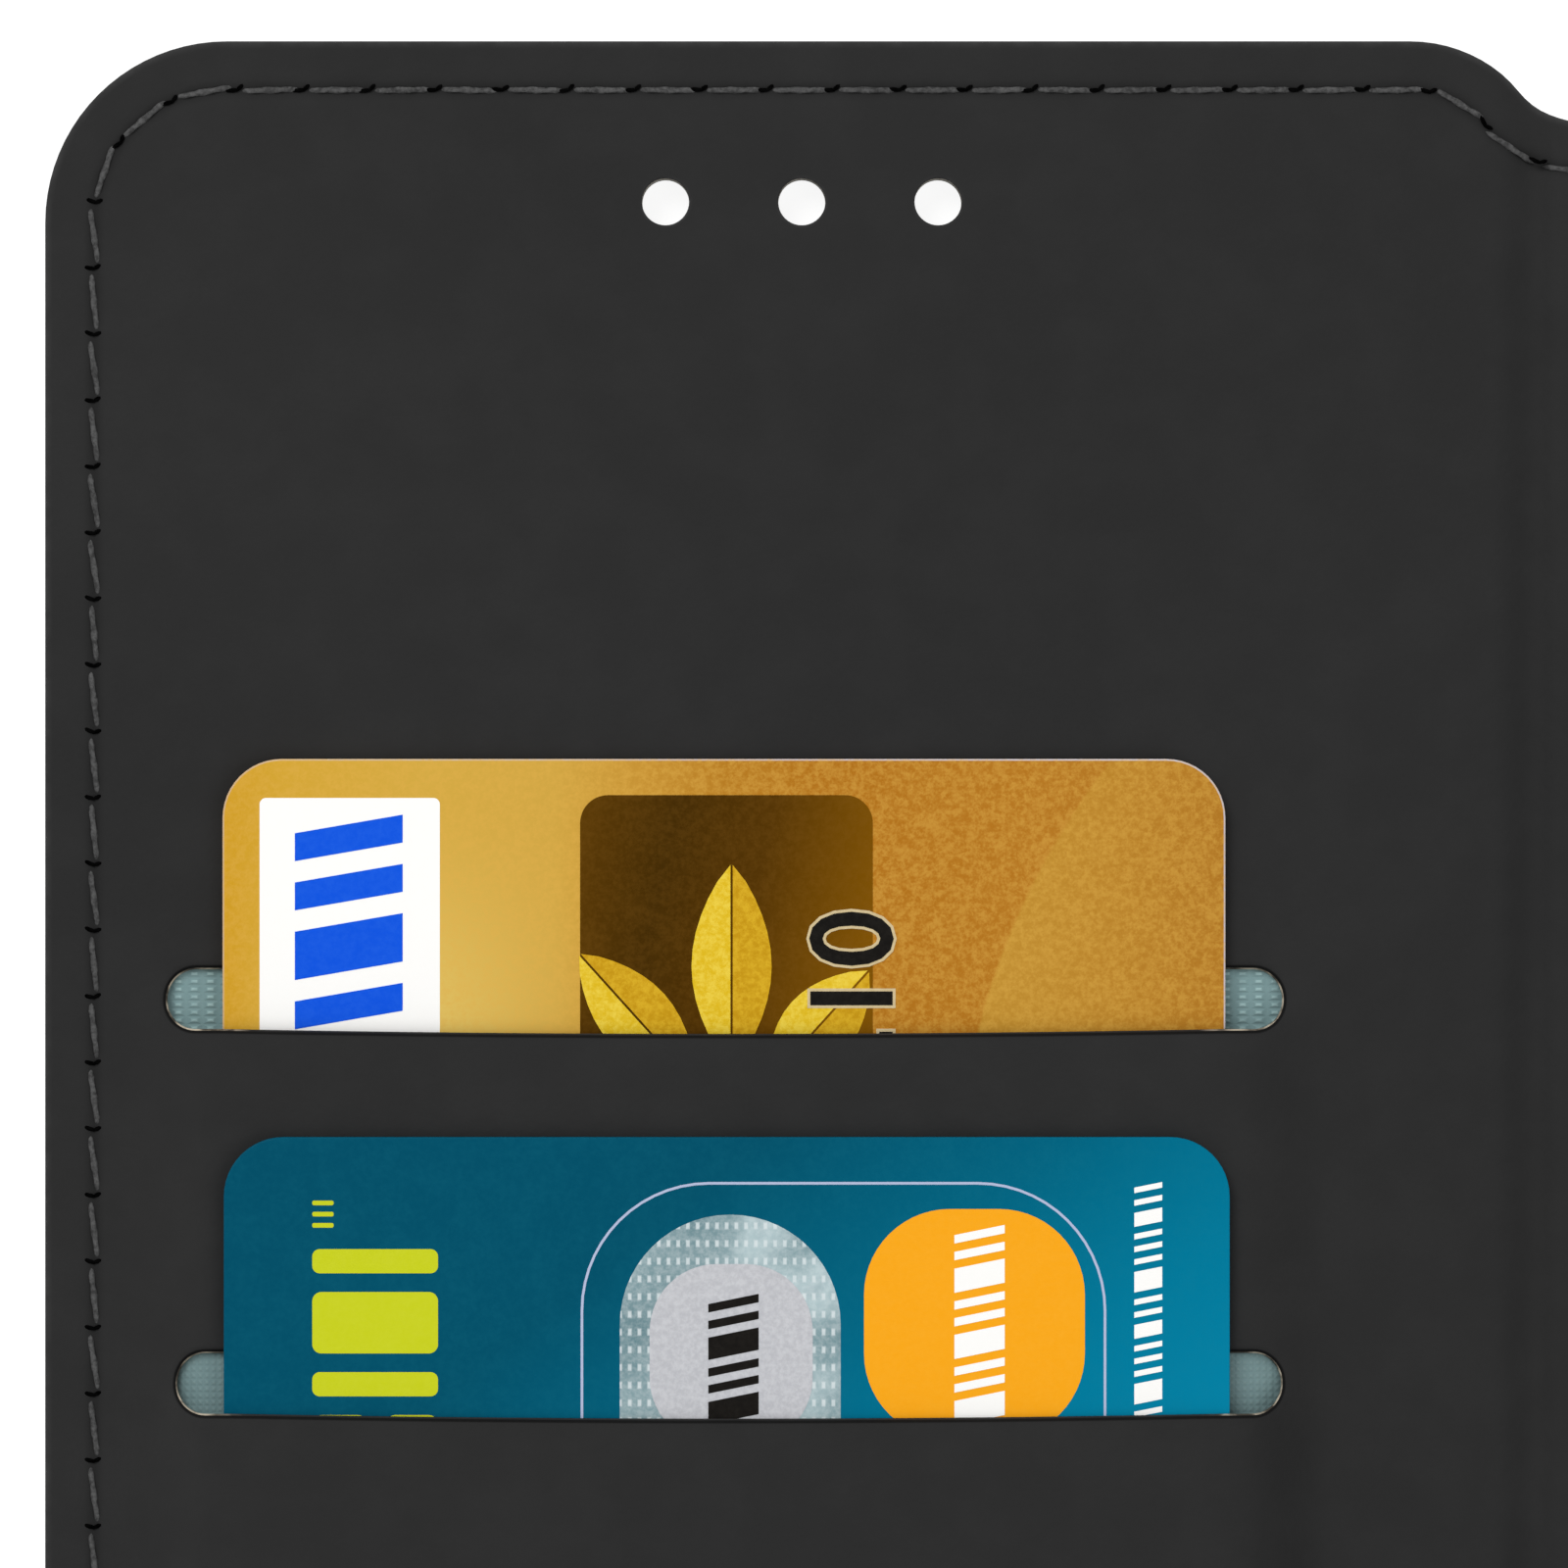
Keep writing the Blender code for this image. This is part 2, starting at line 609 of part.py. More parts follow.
def build_flap():
    skin = cover_skin("front_outer_skin", -1, FLAP_LINING - GLUE_GAP)
    board = cover_board("front_board", -1)
    for layer in (skin, board):
        cut_earpiece(layer)
    finish(skin, BLACK_LEATHER, 0.72)
    finish(board, GREY_BOARD, 0.9)
    finish(magnet("front_magnet", -1), (0.62, 0.62, 0.63), 0.3, 1.0)
    finish(front_lining(), BLACK_LINING, 0.75)
    finish(upper_pocket_liner(), BLUE_FABRIC, 0.85)
    finish(lower_pocket_liner(), BLUE_FABRIC, 0.8)
    finish(cover_thread("front_thread", -1, FLAP_TOP), GREY_THREAD, 0.6)


def build_cards():
    finish(card("upper_card", UPPER_POCKET, UPPER_CARD_BOTTOM), (0.60, 0.38, 0.09), 0.35)
    finish(card("lower_card", LOWER_POCKET, LOWER_CARD_BOTTOM), (0.0, 0.13, 0.24), 0.3)


def build_spine(holder):
    pieces = (
        (spine_skin(), BLACK_LEATHER, 0.72),
        (spine_board(), GREY_BOARD, 0.9),
        (spine_lining(), BLACK_LINING, 0.75),
        (spine_thread("spine_thread_top", 1), GREY_THREAD, 0.6),
        (spine_thread("spine_thread_bottom", -1), GREY_THREAD, 0.6),
    )
    for piece, colour, roughness in pieces:
        finish(piece, colour, roughness)
        put_on(piece, holder)


def build_back(holder):
    skin = cover_skin("back_outer_skin", 1, BOARD_TOP)
    board = cover_board("back_board", 1)
    lining = back_lining()
    for layer in (skin, board, lining):
        cut_camera(layer, CAMERA_COVER_MARGIN)
    pieces = (
        (skin, BLACK_LEATHER, 0.72, 0.0),
        (board, GREY_BOARD, 0.9, 0.0),
        (magnet("back_magnet", 1), (0.62, 0.62, 0.63), 0.3, 1.0),
        (lining, BLACK_LINING, 0.75, 0.0),
        (cover_thread("back_thread", 1, PLAIN_TOP), GREY_THREAD, 0.6, 0.0),
        (tray_pad(), (0.75, 0.74, 0.70), 0.8, 0.0),
        (phone_tray(), (0.02, 0.02, 0.021), 0.45, 0.0),
    )
    for piece, colour, roughness, metallic in pieces:
        finish(piece, colour, roughness, metallic)
        put_on(piece, holder)


def main():
    for found in list(bpy.data.objects):
        bpy.data.objects.remove(found)
    build_flap()
    build_cards()
    front_fold = axis_holder("front_fold", (-HALF_SPINE, 0, AXIS_Z))
    back_fold = axis_holder("back_fold", (HALF_SPINE, 0, AXIS_Z), front_fold)
    build_spine(front_fold)
    build_back(back_fold)


main()
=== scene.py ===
"""Looks of a book-style phone wallet that lies open: leather, stitching, card pockets, two cards and the
phone tray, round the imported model. Metres, +Z up, X across the wallet, Y towards the top of the phone."""

import math

import bmesh
import bpy
import numpy as np
from collections import namedtuple
from mathutils import Matrix, Vector
from mathutils.geometry import delaunay_2d_cdt


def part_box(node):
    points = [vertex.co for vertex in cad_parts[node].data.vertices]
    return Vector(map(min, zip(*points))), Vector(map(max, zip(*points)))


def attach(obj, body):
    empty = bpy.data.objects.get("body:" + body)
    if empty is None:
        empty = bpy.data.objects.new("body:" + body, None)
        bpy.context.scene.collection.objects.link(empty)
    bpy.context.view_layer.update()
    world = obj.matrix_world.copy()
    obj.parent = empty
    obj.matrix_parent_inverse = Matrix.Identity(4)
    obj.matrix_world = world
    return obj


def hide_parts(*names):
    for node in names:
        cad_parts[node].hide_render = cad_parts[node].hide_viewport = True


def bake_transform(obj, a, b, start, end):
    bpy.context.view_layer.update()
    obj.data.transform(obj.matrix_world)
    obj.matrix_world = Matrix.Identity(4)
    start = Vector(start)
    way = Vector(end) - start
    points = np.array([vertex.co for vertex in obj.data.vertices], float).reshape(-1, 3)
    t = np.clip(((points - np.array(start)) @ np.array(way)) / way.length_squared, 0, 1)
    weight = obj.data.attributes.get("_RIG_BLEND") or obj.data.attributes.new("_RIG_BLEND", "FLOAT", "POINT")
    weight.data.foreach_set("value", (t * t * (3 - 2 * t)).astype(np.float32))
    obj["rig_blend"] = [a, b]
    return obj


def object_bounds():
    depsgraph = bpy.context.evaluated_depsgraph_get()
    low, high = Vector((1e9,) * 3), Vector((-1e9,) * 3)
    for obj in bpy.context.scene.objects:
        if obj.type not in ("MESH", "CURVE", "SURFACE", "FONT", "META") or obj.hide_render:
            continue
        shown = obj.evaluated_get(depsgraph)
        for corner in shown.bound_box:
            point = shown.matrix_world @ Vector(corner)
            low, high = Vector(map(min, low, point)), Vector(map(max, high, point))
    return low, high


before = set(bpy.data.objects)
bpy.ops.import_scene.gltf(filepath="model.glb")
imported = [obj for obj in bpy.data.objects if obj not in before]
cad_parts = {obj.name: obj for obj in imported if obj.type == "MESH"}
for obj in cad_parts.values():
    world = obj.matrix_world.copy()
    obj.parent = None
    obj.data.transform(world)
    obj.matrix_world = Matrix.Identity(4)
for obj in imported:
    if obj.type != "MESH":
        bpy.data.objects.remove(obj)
CAD_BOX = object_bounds()

MM = 0.001

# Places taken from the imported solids
HALF_WIDTH = CAD_BOX[1].x
HALF_HEIGHT = CAD_BOX[1].y
LINING_LOW, LINING_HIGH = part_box("front_lining")
SPINE_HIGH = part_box("spine_lining")[1]
FLAP_SKIN_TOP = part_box("front_outer_skin")[1].z
BACK_SKIN_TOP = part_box("back_outer_skin")[1].z
UPPER_CARD_LOW, UPPER_CARD_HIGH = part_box("upper_card")
LOWER_CARD_LOW, LOWER_CARD_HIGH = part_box("lower_card")
GOLD_X, GOLD_TOP = UPPER_CARD_LOW.x, UPPER_CARD_HIGH.y
TEAL_X, TEAL_TOP = LOWER_CARD_LOW.x, LOWER_CARD_HIGH.y
UPPER_LINER_LOW, UPPER_LINER_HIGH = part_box("upper_pocket_liner")
LOWER_LINER_LOW, LOWER_LINER_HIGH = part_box("lower_pocket_liner")
TRAY_LOW, TRAY_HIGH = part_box("phone_tray")
GROOVE_X = -LINING_HIGH.x
SPINE_EDGE = SPINE_HIGH.x
FLAP_MIDDLE = (LINING_LOW.x + LINING_HIGH.x) / 2
TRAY_CENTRE = (TRAY_LOW.x + TRAY_HIGH.x) / 2

# Sizes that repeat the solids' own
CORNER_RADIUS = 9.8 * MM
SHOULDER_RADIUS = 7.8 * MM
SHOULDER_LEAD = 5.7 * MM
SHOULDER_TURN = math.radians(49)
DIP_RADIUS = 4.9 * MM
LINING = 0.5 * MM
SKIN = 0.7 * MM
EDGE_WALL = 1.0 * MM
GLUE_GAP = 0.1 * MM
LINER = 0.25 * MM
CARD_RADIUS = 3.18 * MM
CARD_GAP = 0.1 * MM
SLOT_HEIGHT = 3.33 * MM
ROUND_END = 0.98
RAMP_START = 27.39 * MM
RAMP_WIDTH = 5.4 * MM
RAMP_INSET = 0.15 * MM
POCKET_MIDDLE = FLAP_MIDDLE - 2.96 * MM
FOOT_START = LOWER_CARD_LOW.y - 0.6 * MM
FOOT_END = FOOT_START - RAMP_WIDTH
HOLE_RADIUS = 1.27 * MM
HOLE_PITCH = 7.35 * MM
HOLE_FROM_TOP = 8.66 * MM
SEAM_INSET = 2.65 * MM
TRAY_RADIUS = 9.7 * MM
TRAY_BASE = 0.9 * MM
BAY_INSET = 1.35 * MM
CAMERA_WIDTH = 11.5 * MM
CAMERA_LENGTH = 25.0 * MM
CAMERA_FROM_SIDE = 14.5 * MM
CAMERA_FROM_TOP = 21.5 * MM
CAMERA_COVER_MARGIN = 0.8 * MM
WALL_OPENING = 5.2 * MM
WALL_OPENING_RISE = 1.2 * MM
PORT_WIDTH = 36.0 * MM
BUTTON_LENGTH = 34.0 * MM
BUTTON_MIDDLE = 31.5 * MM

FLAP_TOP = LINING_LOW.z + LINING
PLAIN_TOP = SPINE_HIGH.z
UPPER_STEP = LOWER_CARD_LOW.z - CARD_GAP - FLAP_TOP
LOWER_STEP = LINING_HIGH.z - FLAP_TOP - UPPER_STEP

# Sizes of the finer detail, which the solids leave out
GROOVE_TOP = 1.62 * MM
GROOVE_LINES = 17
SLOT_BOW = 0.26 * MM
RAW_EDGE_START = 26.3 * MM
RAW_EDGE_FADE = 0.8 * MM
EDGE_STEP = 1.6 * MM
FILL_INSET = 4.1 * MM
FINE_FILL = 0.55 * MM
FURROW_DEPTH = 0.13 * MM
FURROW_WIDTH = 0.34 * MM
FURROW_SHADE = 0.35
SEAM_LINES = tuple(inset * MM for inset in (0.75, 1.3, 1.8, 2.1, 2.3, 2.48, 2.65, 2.82, 3.0, 3.25, 3.7))
STITCH_PITCH = 3.57 * MM
STITCH_LENGTH = 3.25 * MM
STITCH_WIDTH = 0.34 * MM
STITCH_SLANT = math.radians(-7.5)
STITCH_LIFT = 0.07 * MM
NEEDLE_SLANT = math.radians(105)
NEEDLE_LIFT = 0.06 * MM
PRINT = 0.016 * MM
DIGITS = "5432 1098 7654 3210"
DIGIT_HEIGHT = 4.6 * MM
DIGIT_ROW_END = 8.1 * MM
SIDE_CUT_ROUND_END = 0.96
SIDE_CUT_DEPTH = 6.0 * MM

Slot = namedtuple("Slot", "lip middle length")
UPPER_SLOT = Slot(HALF_HEIGHT - 53.3 * MM, FLAP_MIDDLE - 3.00 * MM, 60.2 * MM)
LOWER_SLOT = Slot(HALF_HEIGHT - 73.9 * MM, FLAP_MIDDLE - 2.75 * MM, 59.5 * MM)


# ---- outlines -------------------------------------------------------------------------------------------

def ease(t):
    t = min(max(t, 0.0), 1.0)
    return t * t * (3 - 2 * t)


def arc(centre, radius, start, end, steps):
    turns = [math.radians(start + (end - start) * i / steps) for i in range(steps + 1)]
    return [(centre[0] + radius * math.cos(t), centre[1] + radius * math.sin(t)) for t in turns]


def rounded_box(centre, width, length, radius, steps=10):
    points = []
    for start, sx, sy in ((0, 1, 1), (90, -1, 1), (180, -1, -1), (270, 1, -1)):
        corner = (centre[0] + sx * (width / 2 - radius), centre[1] + sy * (length / 2 - radius))
        points += arc(corner, radius, start, start + 90, steps)
    return points


def box_loop(x0, y0, x1, y1, radius, steps=14):
    return rounded_box(((x0 + x1) / 2, (y0 + y1) / 2), x1 - x0, y1 - y0, radius, steps)


def dense(points, step):
    """A closed loop whose long sides are cut into equal pieces no longer than step."""
    found = []
    for (x0, y0), (x1, y1) in zip(points, points[1:] + points[:1]):
        span = math.hypot(x1 - x0, y1 - y0)
        if span < 1e-7:
            continue
        count = max(1, math.ceil(span / step))
        found += [(x0 + (x1 - x0) * i / count, y0 + (y1 - y0) * i / count) for i in range(count)]
    return found


def case_outline(inset=0.0):
    """The whole wallet's outline, counter-clockwise, moved inwards by inset."""
    turn = math.degrees(SHOULDER_TURN)
    corner = (-HALF_WIDTH + CORNER_RADIUS, HALF_HEIGHT - CORNER_RADIUS)
    shoulder = (-GROOVE_X - SHOULDER_LEAD, HALF_HEIGHT - SHOULDER_RADIUS)
    reach = SHOULDER_RADIUS + DIP_RADIUS
    dip = (shoulder[0] + reach * math.sin(SHOULDER_TURN), shoulder[1] + reach * math.cos(SHOULDER_TURN))
    left = arc(corner, CORNER_RADIUS - inset, 180, 90, 20)
    left += arc(shoulder, SHOULDER_RADIUS - inset, 90, 90 - turn, 10)
    left += arc(dip, DIP_RADIUS + inset, 270 - turn, 270, 8)[1:]
    top = left + [(-x, y) for x, y in reversed(left)]
    return top[::-1] + [(x, -y) for x, y in top]


def inset_loop(loop, distance):
    """A counter-clockwise loop moved inwards by distance, its sides kept parallel."""
    found = []
    for k, (x, y) in enumerate(loop):
        before, after = loop[k - 1], loop[(k + 1) % len(loop)]
        a = Vector((x - before[0], y - before[1])).normalized()
        b = Vector((after[0] - x, after[1] - y)).normalized()
        normal = Vector((-a.y - b.y, a.x + b.x))
        push = distance / (1 + a.dot(b))
        found.append((x + normal.x * push, y + normal.y * push))
    return found


def inside(points, loop):
    """Which of the points, rows of x and y, lie in a closed loop."""
    x, y = points[:, 0], points[:, 1]
    found = np.zeros(len(points), bool)
    for (x0, y0), (x1, y1) in zip(loop, loop[1:] + loop[:1]):
        if y0 != y1:
            crosses = (y0 > y) != (y1 > y)
            found ^= crosses & (x < x0 + (y - y0) * (x1 - x0) / (y1 - y0))
    return found


# ---- sheets with holes ----------------------------------------------------------------------------------

# One ring of points round a border: how far in from it, at what height, its rim, which paints highlight with
# some rubbing above 0 and shade below 0, and how freshly cut it is
Ring = namedtuple("Ring", "inset height rim cut")
# A border and its rings, from the upper face round the edge to the under face. side is 1 or, on a hole, -1
Border = namedtuple("Border", "loop side rings")


def slot_end(x):
    """1 beside the cards, where a slot's raw edge shows, and 0 over them."""
    return ease((abs(x - POCKET_MIDDLE) - RAW_EDGE_START) / RAW_EDGE_FADE)


def add_ring(shape, border, ring):
    rim, cut = shape.verts.layers.float["rim"], shape.verts.layers.float["cut"]
    verts = []
    for x, y in inset_loop(border.loop, border.side * ring.inset):
        vert = shape.verts.new((x, y, ring.height(x, y)))
        vert[rim], vert[cut] = ring.rim, ring.cut * slot_end(x)
        verts.append(vert)
    return verts


def cap(shape, rings, fill, height, up):
    """Triangles across a face, between its rings and through the fill points, which hold x, y and a drop."""
    loops = [[(v.co.x, v.co.y) for v in ring] for ring in rings]
    verts, edges = [], []
    for ring in rings:
        start, count = len(verts), len(ring)
        edges += [(start + i, start + (i + 1) % count) for i in range(count)]
        verts += ring
    if len(fill):
        keep = inside(fill, inset_loop(loops[0], 0.12 * MM))
        for loop in loops[1:]:
            keep &= ~inside(fill, inset_loop(loop, -0.12 * MM))
        rim = shape.verts.layers.float["rim"]
        for x, y, drop in fill[keep]:
            vert = shape.verts.new((x, y, height(x, y) - drop))
            # A furrow's drop also darkens it with painted shade, through a negative rim
            vert[rim] = -FURROW_SHADE * abs(drop) / FURROW_DEPTH
            verts.append(vert)
    flat = [Vector((v.co.x, v.co.y)) for v in verts]
    points, _, triangles, origins, _, _ = delaunay_2d_cdt(flat, edges, [], 0, 1e-8)
    middles = np.array([[sum(points[i][k] for i in t) / 3 for k in (0, 1)] for t in triangles])
    keep = inside(middles, loops[0])
    for loop in loops[1:]:
        keep &= ~inside(middles, loop)
    for triangle, wanted in zip(triangles, keep):
        if wanted:
            corners = [verts[origins[i][0]] for i in triangle]
            shape.faces.new(corners if up else corners[::-1])


def plate(name, borders, top, under, fill=(), under_fill=()):
    """A closed sheet with holes. The first border is the outer one."""
    shape = bmesh.new()
    shape.verts.layers.float.new("rim")
    shape.verts.layers.float.new("cut")
    upper, lower = [], []
    for border in borders:
        rings = [add_ring(shape, border, ring) for ring in border.rings]
        count = len(border.loop)
        for above, below in zip(rings, rings[1:]):
            for i in range(count):
                j = (i + 1) % count
                corners = (above[i], below[i], below[j], above[j])
                shape.faces.new(corners if border.side > 0 else corners[::-1])
        upper.append(rings[0])
        lower.append(rings[-1])
    cap(shape, upper, fill, top, True)
    cap(shape, lower, under_fill, under, False)
    for face in shape.faces:
        face.smooth = True
    bmesh.ops.recalc_face_normals(shape, faces=shape.faces)
    return finish_mesh(name, shape)


def add_object(name, data):
    piece = bpy.data.objects.new(name, data)
    bpy.context.scene.collection.objects.link(piece)
    return piece


def finish_mesh(name, shape):
    mesh = bpy.data.meshes.new(name)
    shape.to_mesh(mesh)
    shape.free()
    return add_object(name, mesh)


def evaluated_mesh(helper):
    """A plain mesh of what an object's modifiers or its text make."""
    bpy.context.view_layer.update()
    graph = bpy.context.evaluated_depsgraph_get()
    return bpy.data.meshes.new_from_object(helper.evaluated_get(graph))


def level(z):
    return lambda x, y: z


def raised(height, by):
    return lambda x, y: height(x, y) + by


def soft_edge(top, under, run, depth):
    """Rings of a rounded edge: a quarter ellipse above, a short wall and a smaller round below. Their rim
    value paints a highlight that grows towards the wall.
    """
    rings = []
    for turn in (90, 70, 50, 30, 12):
        t = math.radians(turn)
        rings.append(Ring(run * (1 - math.cos(t)), raised(top, depth * (math.sin(t) - 1)), math.cos(t), 0))
    small = depth * 0.5
    for turn in (0, 40, 90):
        t = math.radians(turn)
        rings.append(Ring(small * (1 - math.cos(t)), raised(under, small * (1 - math.sin(t))), 1, 0))
    return rings


def split_at_spine(piece, names):
    """Cuts a piece that spans the wallet into its flap side and its back cover side, each closed."""
    halves = []
    for name, side in zip(names, (-1, 1)):
        shape = bmesh.new()
        shape.from_mesh(piece.data)
        everything = shape.verts[:] + shape.edges[:] + shape.faces[:]
        cut = bmesh.ops.bisect_plane(
            shape, geom=everything, plane_co=(0, 0, 0), plane_no=(side, 0, 0), clear_inner=True
        )
        open_edges = [e for e in shape.edges if e.is_boundary]
        closed = bmesh.ops.holes_fill(shape, edges=open_edges, sides=0)
        for face in closed["faces"]:
            face.smooth = False
        bmesh.ops.triangulate(shape, faces=closed["faces"])
        bmesh.ops.recalc_face_normals(shape, faces=shape.faces)
        halves.append(finish_mesh(name, shape))
    bpy.data.objects.remove(piece)
    return halves


# ---- leather --------------------------------------------------------------------------------------------

def pocket_side(x):
    return ease((RAMP_START + RAMP_WIDTH - abs(x - POCKET_MIDDLE)) / RAMP_WIDTH)


def below_slot(slot, y):
    return ease((slot.lip + SLOT_HEIGHT - RAMP_INSET - y) / (SLOT_HEIGHT - 2 * RAMP_INSET))


def pocket_rise(x, y):
    """How far the lining stands above the flap's plain level, over the cards below each slot."""
    steps = UPPER_STEP * below_slot(UPPER_SLOT, y) + LOWER_STEP * below_slot(LOWER_SLOT, y)
    return steps * pocket_side(x) * ease((y - FOOT_END) / (FOOT_START - FOOT_END))


def plain_line(x):
    """Height of the inner leather's face along X, with a groove at each fold."""
    outside, shoulder = (FLAP_TOP, 1.1 * MM) if x < 0 else (PLAIN_TOP, 0.0)
    distance = abs(x)
    middle = (GROOVE_X + SPINE_EDGE) / 2
    if distance > middle:
        climb = ease((distance - middle) / (GROOVE_X + shoulder - middle))
        return GROOVE_TOP + (outside - GROOVE_TOP) * climb
    return GROOVE_TOP + (PLAIN_TOP - GROOVE_TOP) * ease((middle - distance) / (middle - SPINE_EDGE))


def lining_top(x, y):
    return plain_line(x) + (pocket_rise(x, y) if x < -GROOVE_X else 0.0)


def lining_under(x, y):
    return lining_top(x, y) - LINING


def skin_floor(x, y):
    return SKIN


def skin_rim(x, y):
    """Top of the outer leather's turned edge, just under the lining."""
    highest = FLAP_SKIN_TOP if x < 0 else BACK_SKIN_TOP
    return min(highest, plain_line(x) - LINING - GLUE_GAP)


def furrow(inset):
    return FURROW_DEPTH * math.exp(-(((inset - SEAM_INSET) / FURROW_WIDTH) ** 2))


def seam_fill():
    """Points along lines beside the seam, which pulls the leather down into a furrow."""
    rows = []
    for inset in SEAM_LINES:
        rows += [(x, y, furrow(inset)) for x, y in dense(case_outline(inset), 0.7 * MM)]
    return rows


def grid_fill(low, high, step):
    """Even points over a rectangle, every other row shifted by half a step."""
    rows = []
    for j in range(int((high[1] - low[1]) / step) + 1):
        shift = step / 2 * (j % 2)
        count = int((high[0] - low[0]) / step) + 1
        rows += [(low[0] + shift + i * step, low[1] + j * step, 0.0) for i in range(count)]
    return rows


def away_from(rows, boxes):
    """Rows that lie in none of the boxes, each given as its two corners."""
    found = []
    for row in rows:
        hit = any(a[0] <= row[0] <= b[0] and a[1] <= row[1] <= b[1] for a, b in boxes)
        if not hit:
            found.append(row)
    return found


def inside_seam(rows):
    """The rows that lie further in than the seam's own lines."""
    rows = np.array(rows)
    clear = inset_loop(dense(case_outline(), 2 * MM), FILL_INSET)
    return list(map(tuple, rows[inside(rows, clear)]))


def lining_fill():
    """Fill points of the inner leather: fine over ramps and grooves, wide elsewhere."""
    ramp_far = RAMP_START + RAMP_WIDTH + 0.6 * MM
    ramp_near = RAMP_START - 0.4 * MM
    left, right = POCKET_MIDDLE - ramp_near, POCKET_MIDDLE + ramp_near
    foot = FOOT_END - 0.5 * MM
    top = UPPER_SLOT.lip + SLOT_HEIGHT + 0.5 * MM
    fine = (
        ((POCKET_MIDDLE - ramp_far, foot), (left, top)),
        ((right, foot), (POCKET_MIDDLE + ramp_far, top)),
        ((left, foot), (right, FOOT_START + 0.6 * MM)),
        ((-GROOVE_X - 1.5 * MM, -HALF_HEIGHT), (-SPINE_EDGE + 0.3 * MM, HALF_HEIGHT)),
        ((SPINE_EDGE - 0.3 * MM, -HALF_HEIGHT), (GROOVE_X + 0.3 * MM, HALF_HEIGHT)),
    )
    rows = grid_fill((-HALF_WIDTH, -HALF_HEIGHT), (HALF_WIDTH, HALF_HEIGHT), 2.4 * MM)
    rows = away_from(rows, fine)
    for low, high in fine[:3]:
        rows += grid_fill(low, high, FINE_FILL)
    for low, high in fine[3:]:
        rows += groove_fill(low, high)
    return np.array(inside_seam(rows) + seam_fill())


def groove_fill(low, high):
    """Close lines along a groove, so that its round bottom and shoulders hold."""
    rows = []
    for i in range(GROOVE_LINES):
        x = low[0] + (high[0] - low[0]) * i / (GROOVE_LINES - 1)
        steps = int((high[1] - low[1]) / MM)
        rows += [(x, low[1] + (j + (i % 2) / 2) * MM, 0.0) for j in range(steps)]
    return rows


def slot_loop(slot):
    """A slot's opening: round ends, and a lower lip that the cards have pulled down a little."""
    middle = (slot.middle, slot.lip + SLOT_HEIGHT / 2)
    loop = dense(rounded_box(middle, slot.length, SLOT_HEIGHT, SLOT_HEIGHT / 2 * ROUND_END, 12), 1.5 * MM)
    reach = slot.length / 2 - SLOT_HEIGHT
    found = []
    for x, y in loop:
        share = max(0.0, 1 - ((x - slot.middle) / reach) ** 2)
        found.append((x, y - SLOT_BOW * share if y < middle[1] else y))
    return found


def slot_rings():
    """A slot's edge: folded slightly under, with painted shade on its rounded top and the pale raw cut
    showing inside the opening.
    """
    top, under = lining_top, lining_under
    return [
        Ring(0.42 * MM, top, 0, 0),
        Ring(0.20 * MM, raised(top, -0.015 * MM), -0.1, 0),
        Ring(0.12 * MM, raised(top, -0.05 * MM), -1, 0),
        Ring(0.04 * MM, raised(top, -0.12 * MM), -1, 0),
        Ring(0.01 * MM, raised(top, -0.21 * MM), -1, 0),
        Ring(0.00 * MM, raised(top, -0.22 * MM), 0, 1),
        Ring(-0.075 * MM, raised(under, 0.08 * MM), 0, 1),
        Ring(-0.07 * MM, raised(under, 0.01 * MM), 0, 1),
        Ring(-0.03 * MM, under, 0, 1),
        Ring(0.30 * MM, under, 0, 0),
    ]


def hole_loop(i, radius=HOLE_RADIUS):
    x = -TRAY_CENTRE + (i - 1) * HOLE_PITCH
    return arc((x, HALF_HEIGHT - HOLE_FROM_TOP), radius, 0, 360, 40)[:-1]


def camera_loop(margin):
    """The camera's opening, placed from the sides of the bay that holds the phone."""
    x = TRAY_HIGH.x - BAY_INSET - CAMERA_FROM_SIDE
    y = TRAY_HIGH.y - BAY_INSET - CAMERA_FROM_TOP
    width = CAMERA_WIDTH + 2 * margin
    return rounded_box((x, y), width, CAMERA_LENGTH + 2 * margin, width / 2 * ROUND_END, 16)


def inner_leather():
    edge = dense(case_outline(), EDGE_STEP)
    borders = [Border(edge, 1, soft_edge(lining_top, lining_under, 0.42 * MM, 0.26 * MM))]
    for slot in (UPPER_SLOT, LOWER_SLOT):
        borders.append(Border(slot_loop(slot), -1, slot_rings()))
    punched = soft_edge(lining_top, lining_under, 0.16 * MM, 0.14 * MM)
    for i in range(3):
        borders.append(Border(hole_loop(i), -1, punched))
    window = soft_edge(lining_top, lining_under, 0.25 * MM, 0.2 * MM)
    borders.append(Border(camera_loop(CAMERA_COVER_MARGIN), -1, window))
    fill = lining_fill()
    whole = plate("inner_leather", borders, lining_top, lining_under, fill, fill)
    return split_at_spine(whole, ("flap_inner_leather", "back_inner_leather"))


def skin_rings():
    """The outer leather's edge: round below, straight up the side, and turned in over the board, the turn
    and the round lit with painted highlight.
    """
    rings = [Ring(EDGE_WALL, skin_floor, 0, 0), Ring(EDGE_WALL - 0.02 * MM, skin_rim, 0, 0)]
    for turn in (90, 55, 20):
        t = math.radians(turn)
        top = raised(skin_rim, 0.14 * MM * (math.sin(t) - 1))
        rings.append(Ring(0.22 * MM * (1 - math.cos(t)), top, 1, 0))
    for turn in (0, 22, 45, 68, 90):
        t = math.radians(turn)
        low = level(0.32 * MM * (1 - math.sin(t)))
        rings.append(Ring(0.45 * MM * (1 - math.cos(t)), low, math.cos(t), 0))
    return rings


